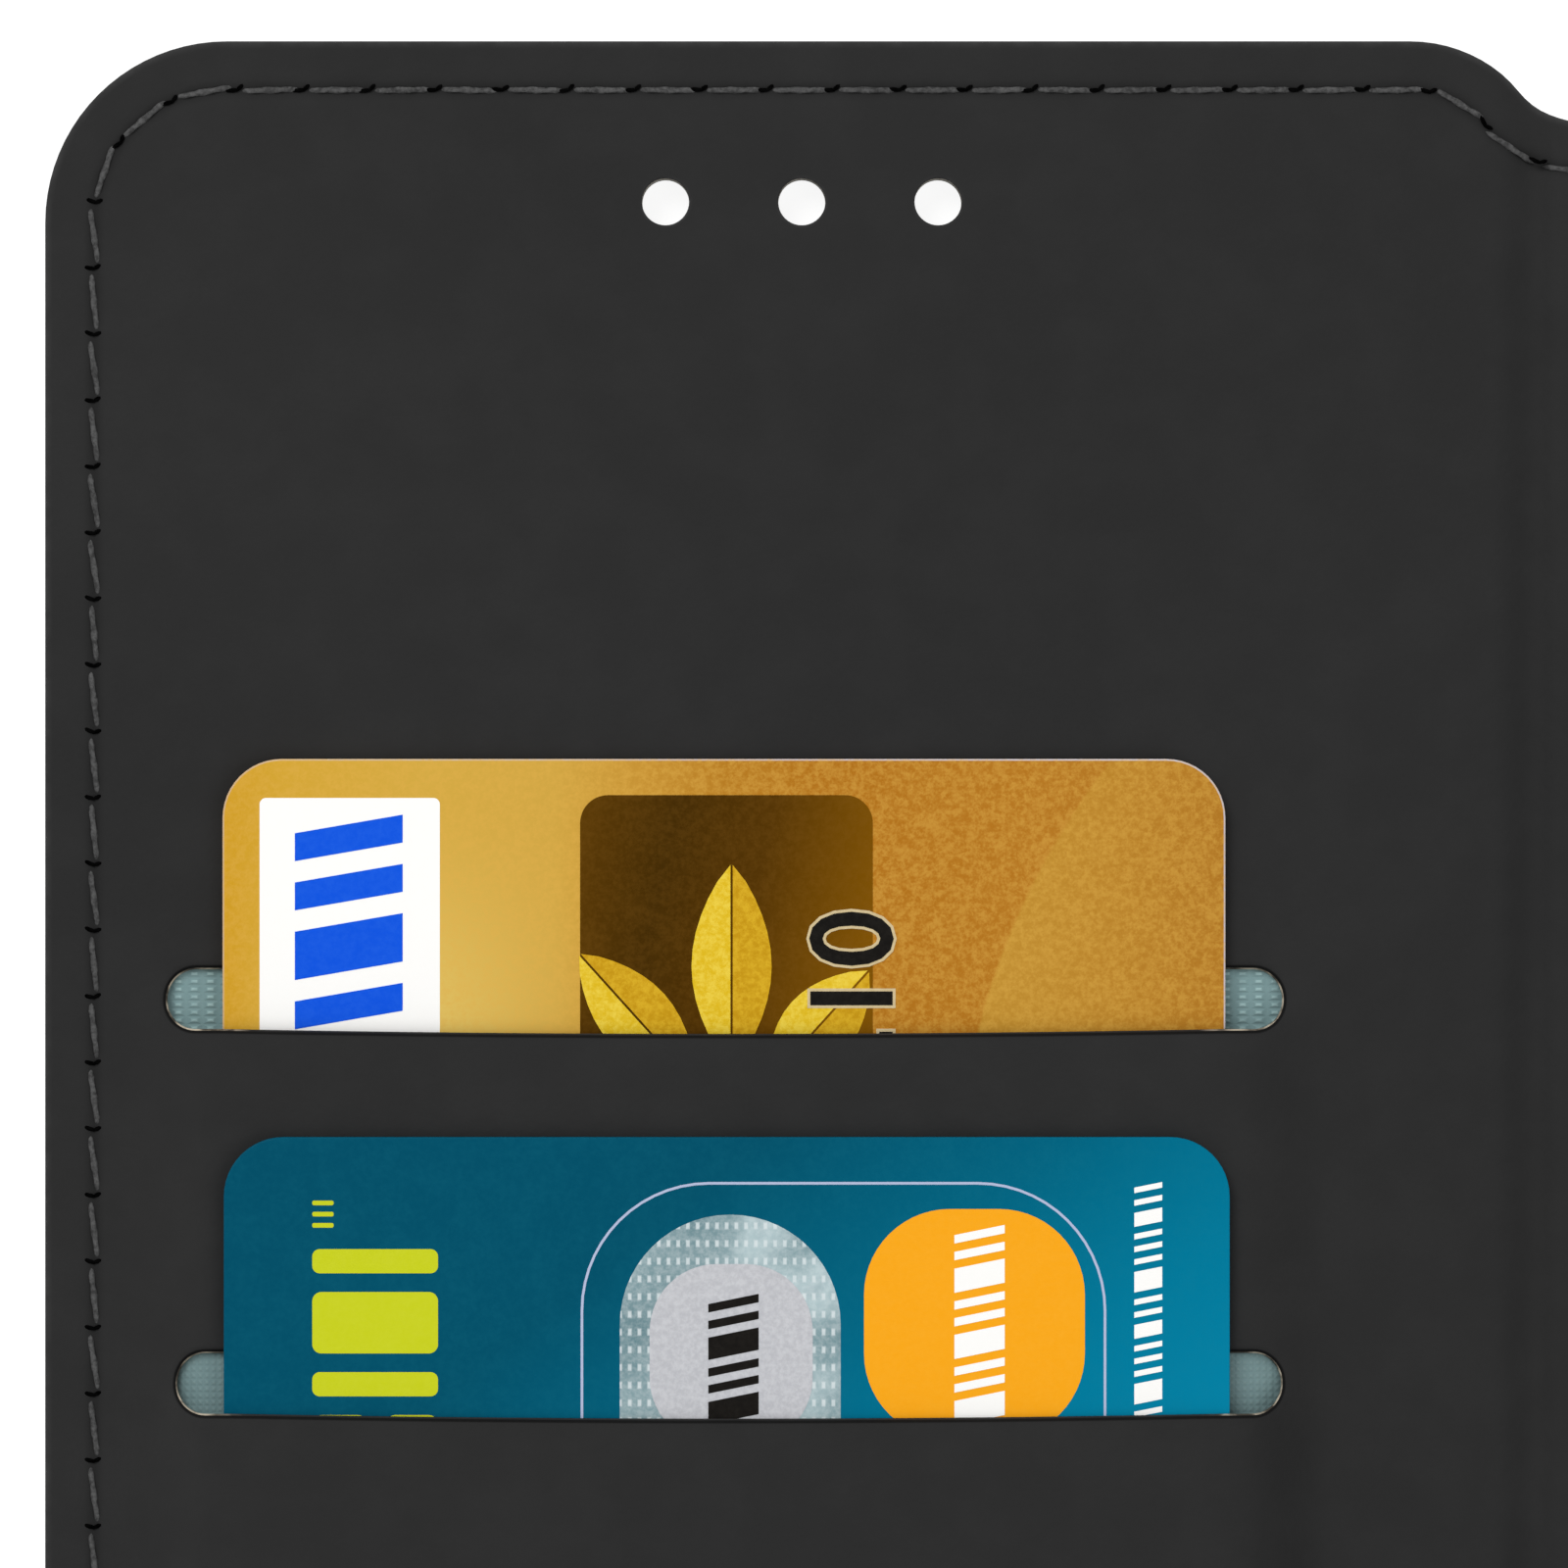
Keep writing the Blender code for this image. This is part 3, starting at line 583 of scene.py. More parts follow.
def outer_fill():
    """Fill points of the outer leather: close lines across the two folds and a furrow under the seam."""
    folds = tuple(
        ((low - 0.6 * MM, -HALF_HEIGHT), (low + GROOVE_X - SPINE_EDGE + 0.6 * MM, HALF_HEIGHT))
        for low in (-GROOVE_X, SPINE_EDGE)
    )
    rows = grid_fill((-HALF_WIDTH, -HALF_HEIGHT), (HALF_WIDTH, HALF_HEIGHT), 3.0 * MM)
    rows = away_from(rows, folds)
    for low, high in folds:
        rows += groove_fill(low, high)
    return np.array(inside_seam(rows) + [(x, y, -drop) for x, y, drop in seam_fill()])


def flat_fill(rows):
    """The same points with no furrow."""
    return np.array([(x, y, 0.0) for x, y, _ in rows])


def outer_leather():
    edge = dense(case_outline(), EDGE_STEP)
    borders = [Border(edge, 1, skin_rings())]
    punched = soft_edge(skin_floor, level(0.0), 0.1 * MM, 0.14 * MM)
    for i in range(3):
        borders.append(Border(hole_loop(i), -1, punched))
    window = soft_edge(skin_floor, level(0.0), 0.2 * MM, 0.3 * MM)
    borders.append(Border(camera_loop(CAMERA_COVER_MARGIN), -1, window))
    fill = outer_fill()
    whole = plate("outer_leather", borders, skin_floor, level(0.0), flat_fill(fill), fill)
    return split_at_spine(whole, ("flap_outer_leather", "back_outer_leather"))


# ---- pocket cloth ---------------------------------------------------------------------------------------

def cloth_plate(name, loop, top, under, step):
    rings = [
        Ring(0.08 * MM, top, 0.4, 0),
        Ring(0.0, raised(top, -0.08 * MM), 1, 0),
        Ring(0.0, raised(under, 0.08 * MM), 1, 0),
        Ring(0.08 * MM, under, 0.4, 0),
    ]
    xs, ys = [x for x, _ in loop], [y for _, y in loop]
    fill = np.array(grid_fill((min(xs), min(ys)), (max(xs), max(ys)), step))
    return plate(name, [Border(loop, 1, rings)], top, under, fill, fill)


def upper_liner():
    """Mesh cloth behind the upper card."""
    low, high = UPPER_LINER_LOW, UPPER_LINER_HIGH
    loop = dense(box_loop(low.x, low.y, high.x, high.y, 2.2 * MM, 6), 2 * MM)
    return cloth_plate("upper_pocket_cloth", loop, level(high.z), level(low.z), 2.2 * MM)


def lower_liner():
    """Plain cloth between the two cards, following the leather down beside them."""
    low, high = LOWER_LINER_LOW, LOWER_LINER_HIGH
    loop = dense(box_loop(low.x, low.y, high.x, high.y, 0.5 * MM, 3), 1.5 * MM)

    def under(x, y):
        return LINING_LOW.z + UPPER_STEP * pocket_side(x) - GLUE_GAP - LINER

    return cloth_plate("lower_pocket_cloth", loop, raised(under, LINER), under, 1.1 * MM)


# ---- cards ----------------------------------------------------------------------------------------------

def card_body(name, low, high):
    loop = dense(box_loop(low.x, low.y, high.x, high.y, CARD_RADIUS, 12), 4 * MM)
    rings = soft_edge(level(high.z), level(low.z), 0.12 * MM, 0.07 * MM)
    return plate(name, [Border(loop, 1, rings)], level(high.z), level(low.z))


def inlay(name, loops, z, thickness):
    """Flat printed shapes, one closed solid for each loop, standing a hair above a card."""
    shape = bmesh.new()
    for loop in loops:
        base = shape.faces.new([shape.verts.new((x, y, z - thickness / 2)) for x, y in loop])
        raised_part = bmesh.ops.extrude_face_region(shape, geom=[base])["geom"]
        lifted = [part for part in raised_part if isinstance(part, bmesh.types.BMVert)]
        bmesh.ops.translate(shape, verts=lifted, vec=(0, 0, thickness))
    bmesh.ops.recalc_face_normals(shape, faces=shape.faces)
    return finish_mesh(name, shape)


def frame_loops(x0, y0, x1, y1, radius, width):
    """A thin line round a box, as short quads between its outer and inner loops."""
    outer = dense(box_loop(x0, y0, x1, y1, radius), 6 * MM)
    inner = inset_loop(outer, width)
    count = len(outer)
    return [(outer[i], outer[(i + 1) % count], inner[(i + 1) % count], inner[i]) for i in range(count)]


def gold_at(x, y):
    """A place on the gold card, from its left side and down from its top, in millimetres."""
    return GOLD_X + x * MM, GOLD_TOP - y * MM


def teal_at(x, y):
    return TEAL_X + x * MM, TEAL_TOP - y * MM


def boxes_on(place, rows):
    """Rounded boxes on a card. Each row is left, top, right, bottom and radius in millimetres."""
    found = []
    for left, top, right, bottom, radius in rows:
        x0, y1 = place(left, top)
        x1, y0 = place(right, bottom)
        found.append(box_loop(x0, y0, x1, y1, radius * MM))
    return found


def strokes_on(place, left, right, start, end, sizes, gap, lean=0.0):
    """A row of bars down a card, their thickness taken in turn from sizes, in millimetres."""
    found, top, turn = [], start, 0
    while top < end:
        size = sizes[turn % len(sizes)]
        corners = ((left, top + lean), (left, top + lean + size), (right, top + size), (right, top))
        found.append([place(x, y) for x, y in corners])
        top += size + gap
        turn += 1
    return found


def leaf_halves(place, angle, length, half):
    """The two halves of one leaf of a sprig, with a thin gap for its vein."""
    turn = math.radians(angle)
    foot, start, vein, steps = (27.4, 19.6), 3.0, 0.06, 12
    halves = []
    for side in (-1, 1):
        outline = [(0.0, vein), (1.0, vein)]
        for i in range(steps - 1, 0, -1):
            t = i / steps
            outline.append((t, vein + half * math.sin(math.pi * t) ** 0.8))
        points = []
        for t, w in outline:
            along, across = start + t * (length - start), side * w
            x = foot[0] + along * math.sin(turn) + across * math.cos(turn)
            y = foot[1] - along * math.cos(turn) + across * math.sin(turn)
            points.append(place(x, y))
        halves.append(points)
    return halves


def gold_print():
    z = UPPER_CARD_HIGH.z
    panel = inlay("gold_card_panel", boxes_on(gold_at, [(2.0, 2.1, 11.7, 46.0, 0.35)]), z, PRINT)
    bars = strokes_on(gold_at, 3.9, 9.7, 3.0, 44.0, (1.5, 1.5, 2.6), 1.15, 1.0)
    blue = inlay("gold_card_blue_bars", bars, z + PRINT, PRINT)
    square = inlay("gold_card_dark_square", boxes_on(gold_at, [(19.25, 1.95, 35.0, 20.0, 1.5)]), z, PRINT)
    # Each leaf has a lit half in gold foil and a half darkened with painted shade, as facet shading
    leaves = [leaf_halves(gold_at, *leaf) for leaf in ((-42, 12.2, 1.9), (0, 13.9, 2.1), (42, 11.0, 1.9))]
    light = inlay("gold_card_leaves_light", [halves[0] for halves in leaves], z + PRINT, PRINT)
    deep = inlay("gold_card_leaves_deep", [halves[1] for halves in leaves], z + PRINT, PRINT)
    return (
        (panel, "white_print"),
        (blue, "blue_print"),
        (square, "brown_print"),
        (light, "gold_foil"),
        (deep, "shaded_gold_foil"),
    )


def number_row(name, z, grow):
    """Plain raised digits that run up the card, made a mesh before they are placed."""
    curve = bpy.data.curves.new(name, "FONT")
    curve.body = DIGITS
    curve.size = 1.37 * DIGIT_HEIGHT
    curve.extrude = 0.02 * MM
    curve.offset = grow
    curve.bevel_depth = 0.015 * MM
    curve.bevel_resolution = 1
    curve.resolution_u = 4
    curve.space_character = 1.02
    curve.align_x = "RIGHT"
    helper = add_object(name + "_text", curve)
    mesh = evaluated_mesh(helper)
    bpy.data.objects.remove(helper)
    x, y = gold_at(36.0, 0)
    upright = Matrix.Rotation(math.radians(90), 4, "Z")
    mesh.transform(Matrix.Translation((x, y - DIGIT_ROW_END, z)) @ upright)
    return add_object(name, mesh)


def gold_digits():
    top = number_row("gold_card_digits", UPPER_CARD_HIGH.z + 0.03 * MM, 0.05 * MM)
    halo = number_row("gold_card_digit_edges", UPPER_CARD_HIGH.z + 0.005 * MM, 0.21 * MM)
    return (top, "black_print"), (halo, "cream_print")


def teal_print():
    z = LOWER_CARD_HIGH.z
    lime = [(4.75, 6.0, 11.5, 7.3, 0.4), (4.75, 8.3, 11.5, 11.6, 0.5), (4.75, 12.6, 11.5, 13.9, 0.4)]
    lime += [(4.75, 14.9, 7.7, 30.0, 0.5), (8.7, 14.9, 11.5, 30.0, 0.5)]
    lime += [(4.75, 3.4, 5.9, 3.65, 0.1), (4.75, 4.0, 5.9, 4.25, 0.1), (4.75, 4.6, 5.9, 4.85, 0.1)]
    bars = inlay("teal_card_lime_bars", boxes_on(teal_at, lime), z, PRINT)
    x0, y0 = teal_at(19.15, 82.0)
    x1, y1 = teal_at(47.35, 2.4)
    line = inlay("teal_card_line", frame_loops(x0, y0, x1, y1, 6.9 * MM, 0.14 * MM), z, PRINT)
    pill = inlay("teal_card_foil", boxes_on(teal_at, [(21.25, 4.15, 33.1, 23.0, 5.9)]), z, PRINT)
    pearl = inlay("teal_card_pearl", boxes_on(teal_at, [(22.85, 6.8, 31.6, 16.5, 3.6)]), z + PRINT, PRINT)
    orange = inlay("teal_card_orange", boxes_on(teal_at, [(34.35, 3.85, 46.2, 16.2, 4.6)]), z, PRINT)
    small = strokes_on(teal_at, 48.85, 50.35, 2.4, 44.0, (0.3, 0.3, 0.75, 0.3, 0.3, 0.3, 1.1), 0.38, 0.3)
    pale = strokes_on(teal_at, 39.2, 41.9, 4.7, 14.5, (0.45, 0.45, 1.3), 0.45, 0.55)
    dark = strokes_on(teal_at, 26.0, 28.7, 8.4, 15.5, (0.45, 0.45, 1.2), 0.45, 0.55)
    marks = inlay("teal_card_side_bars", small, z, PRINT)
    dark_marks = inlay("teal_card_dark_bars", dark, z + 2 * PRINT, PRINT)
    pale_marks = inlay("teal_card_pale_bars", pale, z + PRINT, PRINT)
    return (
        (dark_marks, "black_print"),
        (pale_marks, "white_print"),
        (bars, "lime_print"),
        (line, "pale_line"),
        (pill, "silver_foil"),
        (pearl, "pearl_foil"),
        (orange, "orange_print"),
        (marks, "white_print"),
    )


# ---- seam -----------------------------------------------------------------------------------------------

def thread_shape():
    """One stitch of two-ply thread along X: plump in the middle, its ends diving into the leather."""
    shape = bmesh.new()
    rings, count, sides = [], 13, 7
    for i in range(count):
        t = -1 + 2 * i / (count - 1)
        plump = math.sqrt(max(0.0, 1 - abs(t) ** 3.2)) * 0.9 + 0.1
        bend = -0.14 * MM * max(0.0, abs(t) - 0.75) / 0.25
        ring = []
        for k in range(sides):
            turn = 2 * math.pi * k / sides
            ply = 1 + 0.22 * math.cos(2 * (turn + 4.2 * t))
            radius = STITCH_WIDTH / 2 * plump * ply
            y, z = radius * math.cos(turn), bend + radius * 0.75 * math.sin(turn)
            ring.append(shape.verts.new((t * STITCH_LENGTH / 2, y, z)))
        rings.append(ring)
    for a, b in zip(rings, rings[1:]):
        for k in range(sides):
            shape.faces.new((a[k], b[k], b[(k + 1) % sides], a[(k + 1) % sides]))
    shape.faces.new(rings[0])
    shape.faces.new(rings[-1][::-1])
    bmesh.ops.recalc_face_normals(shape, faces=shape.faces)
    for face in shape.faces:
        face.smooth = True
    return finish_mesh("thread_shape", shape)


# Each lobe's place, half length and half width in millimetres, and its turn in degrees
NEEDLE_LOBES = ((0.26, 0.0, 0.46, 0.14, 0), (-0.15, -0.13, 0.28, 0.14, 41))


def needle_shape():
    """Painted shadow in one needle hole: two narrow dark lobes that lie in the furrow."""
    shape = bmesh.new()
    for x, y, reach, width, turn in NEEDLE_LOBES:
        lobe = bmesh.ops.create_uvsphere(shape, u_segments=7, v_segments=3, radius=1.0)["verts"]
        bmesh.ops.scale(shape, vec=(reach * MM, width * MM, 0.08 * MM), verts=lobe)
        bmesh.ops.rotate(shape, verts=lobe, matrix=Matrix.Rotation(math.radians(turn), 3, "Z"))
        bmesh.ops.translate(shape, verts=lobe, vec=(x * MM, y * MM, 0))
    for face in shape.faces:
        face.smooth = True
    return finish_mesh("needle_shape", shape)


def seam_places(offset):
    """Even places round the whole seam, with the seam's direction at each."""
    path = dense(case_outline(SEAM_INSET), 0.25 * MM)
    spans = [math.dist(a, b) for a, b in zip(path, path[1:] + path[:1])]
    whole = sum(spans)
    count = round(whole / STITCH_PITCH)
    pitch = whole / count
    found, walked, k = [], 0.0, 0
    for i in range(count):
        target = (i + offset) * pitch
        while walked + spans[k % len(spans)] < target:
            walked += spans[k % len(spans)]
            k += 1
        a, b = path[k % len(path)], path[(k + 1) % len(path)]
        t = (target - walked) / spans[k % len(spans)]
        heading = math.atan2(b[1] - a[1], b[0] - a[0])
        found.append((a[0] + (b[0] - a[0]) * t, a[1] + (b[1] - a[1]) * t, heading))
    return found


# Spans of X whose stitches move together. A fold's span takes in every stitch that reaches into the fold
FOLD_START = SPINE_EDGE - 0.5 * STITCH_LENGTH
FOLD_END = GROOVE_X + 0.5 * STITCH_LENGTH
ZONES = (
    ("flap", -1.0, -FOLD_END),
    ("flap_fold", -FOLD_END, -FOLD_START),
    ("spine", -FOLD_START, FOLD_START),
    ("back_fold", FOLD_START, FOLD_END),
    ("back", FOLD_END, 1.0),
)


def sewing_sockets(tree):
    """The tree's named inputs and its output. It returns each input's identifier."""
    keys = {}
    for label, kind in (
        ("Geometry", "NodeSocketGeometry"),
        ("Shape", "NodeSocketObject"),
        ("Looseness", "NodeSocketFloat"),
        ("Seed", "NodeSocketInt"),
        ("Finish", "NodeSocketMaterial"),
    ):
        keys[label] = tree.interface.new_socket(label, in_out="INPUT", socket_type=kind).identifier
    tree.interface.new_socket("Geometry", in_out="OUTPUT", socket_type="NodeSocketGeometry")
    return keys


def sewn_turn(tree, start):
    """Each point's own direction, with a little random turn added about Z."""
    add, link = tree.nodes.new, tree.links.new
    turn = add("GeometryNodeInputNamedAttribute")
    turn.data_type = "FLOAT_VECTOR"
    turn.inputs["Name"].default_value = "turn"
    wander = add("FunctionNodeRandomValue")
    wander.data_type = "FLOAT"
    wander.inputs[2].default_value = -1.0
    wander.inputs[3].default_value = 1.0
    amount = add("ShaderNodeMath")
    amount.operation = "MULTIPLY"
    about_z = add("ShaderNodeCombineXYZ")
    total = add("ShaderNodeVectorMath")
    total.operation = "ADD"
    euler = add("FunctionNodeEulerToRotation")
    link(start.outputs["Seed"], wander.inputs["Seed"])
    link(wander.outputs[1], amount.inputs[0])
    link(start.outputs["Looseness"], amount.inputs[1])
    link(amount.outputs[0], about_z.inputs["Z"])
    link(turn.outputs["Attribute"], total.inputs[0])
    link(about_z.outputs[0], total.inputs[1])
    link(total.outputs[0], euler.inputs["Euler"])
    return euler.outputs["Rotation"]


def sewing_tree():
    """Geometry nodes that set one shape on every point, turned to the point's own direction."""
    tree = bpy.data.node_groups.new("sew_along_seam", "GeometryNodeTree")
    keys = sewing_sockets(tree)
    add, link = tree.nodes.new, tree.links.new
    start, end = add("NodeGroupInput"), add("NodeGroupOutput")
    source = add("GeometryNodeObjectInfo")
    points = add("GeometryNodeMeshToPoints")
    place = add("GeometryNodeInstanceOnPoints")
    real = add("GeometryNodeRealizeInstances")
    coat = add("GeometryNodeSetMaterial")
    link(start.outputs["Geometry"], points.inputs["Mesh"])
    link(start.outputs["Shape"], source.inputs["Object"])
    link(points.outputs["Points"], place.inputs["Points"])
    link(source.outputs["Geometry"], place.inputs["Instance"])
    link(sewn_turn(tree, start), place.inputs["Rotation"])
    link(place.outputs["Instances"], real.inputs["Geometry"])
    link(real.outputs["Geometry"], coat.inputs["Geometry"])
    link(start.outputs["Finish"], coat.inputs["Material"])
    link(coat.outputs["Geometry"], end.inputs["Geometry"])
    return tree, keys


def sewn_row(name, places, turns, sewing, inputs):
    """A shape set on every place, as one plain mesh. inputs holds the tree's named inputs."""
    tree, keys = sewing
    mesh = bpy.data.meshes.new(name)
    mesh.from_pydata(places, [], [])
    mesh.attributes.new("turn", "FLOAT_VECTOR", "POINT").data.foreach_set(
        "vector", [value for turn in turns for value in turn]
    )
    helper = add_object(name + "_places", mesh)
    modifier = helper.modifiers.new("sewing", "NODES")
    modifier.node_group = tree
    for label, value in inputs.items():
        modifier[keys[label]] = value
    result = evaluated_mesh(helper)
    helper.modifiers.remove(modifier)
    bpy.data.objects.remove(helper)
    result.name = name
    return add_object(name, result)


def stitch_rest(x, heading):
    """Height and pitch at which a stitch lies on the leather under its two ends."""
    reach = STITCH_LENGTH / 2 * math.cos(heading)
    before, after = plain_line(x - reach), plain_line(x + reach)
    height = max(plain_line(x), (before + after) / 2)
    return height, -math.atan2(after - before, STITCH_LENGTH)


def sewn_places(spots, low, high, slant, lift):
    """Places and turns on both faces of the wallet, for the spots whose X lies in one zone."""
    places, turns = [], []
    for x, y, heading in spots:
        if not low <= x < high:
            continue
        lean = slant * math.sin(heading) ** 6
        height, pitch = stitch_rest(x, heading)
        places.append((x, y, height - FURROW_DEPTH + lift))
        turns.append((0.0, pitch, heading - lean))
        places.append((x, y, FURROW_DEPTH - lift))
        turns.append((math.pi, 0.0, heading + lean))
    return places, turns


def seam(finishes):
    """All stitches and the painted shadows of the needle holes, one piece for each zone, on the inner and
    the outer face.
    """
    sewing = sewing_tree()
    thread, needle = thread_shape(), needle_shape()
    # What is sewn, its shape, share of a pitch along, slant, height in the furrow, looseness and seed
    rows = (
        ("stitches", thread, 0.0, STITCH_SLANT, STITCH_LIFT, 0.035, 11),
        ("needle_marks", needle, 0.5, NEEDLE_SLANT, NEEDLE_LIFT, 0.14, 23),
    )
    made = []
    for word, shape, offset, slant, lift, loose, seed in rows:
        inputs = {"Shape": shape, "Looseness": loose, "Seed": seed, "Finish": finishes[word]}
        spots = seam_places(offset)
        for zone, low, high in ZONES:
            places, turns = sewn_places(spots, low, high, slant, lift)
            piece = sewn_row(f"{zone}_{word}", places, turns, sewing, inputs)
            made.append((zone, word, piece))
    for shape in (thread, needle):
        bpy.data.objects.remove(shape)
    return made


# ---- phone tray -----------------------------------------------------------------------------------------

TRAY_SECTION = (
    # inset from the outer wall and height above the tray's underside, in millimetres
    (1.30, 0.00), (0.75, 0.04), (0.35, 0.18), (0.10, 0.45), (0.0, 0.85), (0.0, 1.6), (0.0, 4.6), (0.0, 7.6),
    (0.0, 8.3), (0.06, 8.70), (0.25, 9.00), (0.55, 9.16), (0.95, 9.20), (1.45, 9.20), (1.85, 9.14),
    (2.12, 8.98), (2.22, 8.75), (2.16, 8.58), (1.95, 8.50), (1.45, 8.46), (1.35, 8.30), (1.35, 4.6),
    (1.35, 1.35), (1.45, 1.08), (1.75, 0.93), (2.3, 0.90),
)


def tray_loft():
    """The tray's shell: one closed skin from its underside round the lip to the bay's floor."""
    shape = bmesh.new()
    width, length = TRAY_HIGH.x - TRAY_LOW.x, TRAY_HIGH.y - TRAY_LOW.y
    rings = []
    for inset, height in TRAY_SECTION:
        inset, z = inset * MM, TRAY_LOW.z + height * MM
        loop = rounded_box((TRAY_CENTRE, 0), width - 2 * inset, length - 2 * inset, TRAY_RADIUS - inset, 14)
        rings.append([shape.verts.new((x, y, z)) for x, y in loop])
    count = len(rings[0])
    for below, above in zip(rings, rings[1:]):
        for i in range(count):
            j = (i + 1) % count
            shape.faces.new((below[i], below[j], above[j], above[i]))
    shape.faces.new(rings[0][::-1])
    shape.faces.new(rings[-1])
    bmesh.ops.recalc_face_normals(shape, faces=shape.faces)
    return finish_mesh("moulded_tray", shape)


def upright_cutter(name, loop, low, high):
    shape = bmesh.new()
    base = shape.faces.new([shape.verts.new((x, y, low)) for x, y in loop])
    lifted = bmesh.ops.extrude_face_region(shape, geom=[base])["geom"]
    tops = [part for part in lifted if isinstance(part, bmesh.types.BMVert)]
    bmesh.ops.translate(shape, verts=tops, vec=(0, 0, high - low))
    bmesh.ops.recalc_face_normals(shape, faces=shape.faces)
    return finish_mesh(name, shape)


def side_cutter(name, centre, along, width):
    """A rounded bar that cuts a window through a side wall. along is the wall's direction, X or Y."""
    radius = WALL_OPENING / 2 * SIDE_CUT_ROUND_END
    loop = rounded_box((0, 0), width, WALL_OPENING, radius, 8)
    cutter = upright_cutter(name, loop, -SIDE_CUT_DEPTH / 2, SIDE_CUT_DEPTH / 2)
    stand = Matrix.Rotation(math.radians(90), 4, "X")
    turn = Matrix.Rotation(math.radians(90) if along == "Y" else 0.0, 4, "Z")
    cutter.data.transform(Matrix.Translation(centre) @ turn @ stand)
    return cutter


def moulded_tray():
    tray = tray_loft()
    floor = TRAY_LOW.z + TRAY_BASE
    middle = floor + WALL_OPENING_RISE + WALL_OPENING / 2
    cutters = (
        upright_cutter("tray_camera_cut", camera_loop(0.0), TRAY_LOW.z - MM, floor + MM),
        side_cutter("tray_port_cut", (TRAY_CENTRE, TRAY_LOW.y, middle), "X", PORT_WIDTH),
        side_cutter("tray_button_cut", (TRAY_HIGH.x, BUTTON_MIDDLE, middle), "Y", BUTTON_LENGTH),
    )
    for cutter in cutters:
        modifier = tray.modifiers.new(cutter.name, "BOOLEAN")
        modifier.operation = "DIFFERENCE"
        modifier.solver = "EXACT"
        modifier.object = cutter
    bevel = tray.modifiers.new("edges", "BEVEL")
    bevel.limit_method = "ANGLE"
    bevel.angle_limit = math.radians(50)
    bevel.width = 0.16 * MM
    bevel.segments = 2
    result = evaluated_mesh(tray)
    for found in (tray, *cutters):
        bpy.data.objects.remove(found)
    for face in result.polygons:
        face.use_smooth = abs(face.normal.z) < 0.999
    result.set_sharp_from_angle(angle=math.radians(38))
    return add_object("moulded_phone_tray", result)


# ---- finishes -------------------------------------------------------------------------------------------

def srgb(red, green, blue):
    """A colour given as 0 to 255 screen values."""
    def linear(value):
        value /= 255
        return value / 12.92 if value <= 0.04045 else ((value + 0.055) / 1.055) ** 2.4
    return linear(red), linear(green), linear(blue), 1.0


def new_group(name, inputs, outputs):
    tree = bpy.data.node_groups.new(name, "ShaderNodeTree")
    kinds = {"vector": "NodeSocketVector", "colour": "NodeSocketColor", "value": "NodeSocketFloat"}
    for label, kind in inputs:
        tree.interface.new_socket(label, in_out="INPUT", socket_type=kinds[kind])
    for label, kind in outputs:
        tree.interface.new_socket(label, in_out="OUTPUT", socket_type=kinds[kind])
    return tree, tree.nodes.new("NodeGroupInput"), tree.nodes.new("NodeGroupOutput")


def maths(tree, operation, first, second=0.5):
    """A math node fed by sockets or plain numbers. It returns its output."""
    node = tree.nodes.new("ShaderNodeMath")
    node.operation = operation
    for socket, value in zip(node.inputs, (first, second)):
        if isinstance(value, (int, float)):
            socket.default_value = value
        else:
            tree.links.new(value, socket)
    return node.outputs[0]


def mix(tree, factor, first, second):
    """A colour mix fed by sockets or plain colours."""
    node = tree.nodes.new("ShaderNodeMix")
    node.data_type = "RGBA"
    for key, value in ((0, factor), (6, first), (7, second)):
        if isinstance(value, (int, float, tuple)):
            node.inputs[key].default_value = value
        else:
            tree.links.new(value, node.inputs[key])
    return node.outputs[2]


def noise(tree, vector, scale, detail=3.0, roughness=0.55):
    node = tree.nodes.new("ShaderNodeTexNoise")
    node.inputs["Detail"].default_value = detail
    node.inputs["Roughness"].default_value = roughness
    tree.links.new(vector, node.inputs["Vector"])
    if isinstance(scale, (int, float)):
        node.inputs["Scale"].default_value = scale
    else:
        tree.links.new(scale, node.inputs["Scale"])
    return node.outputs["Fac"]


def spread(tree, value, low, high, out_low=0.0, out_high=1.0):
    node = tree.nodes.new("ShaderNodeMapRange")
    node.interpolation_type = "SMOOTHSTEP"
    tree.links.new(value, node.inputs["Value"])
    for key, number in zip((1, 2, 3, 4), (low, high, out_low, out_high)):
        node.inputs[key].default_value = number
    return node.outputs["Result"]


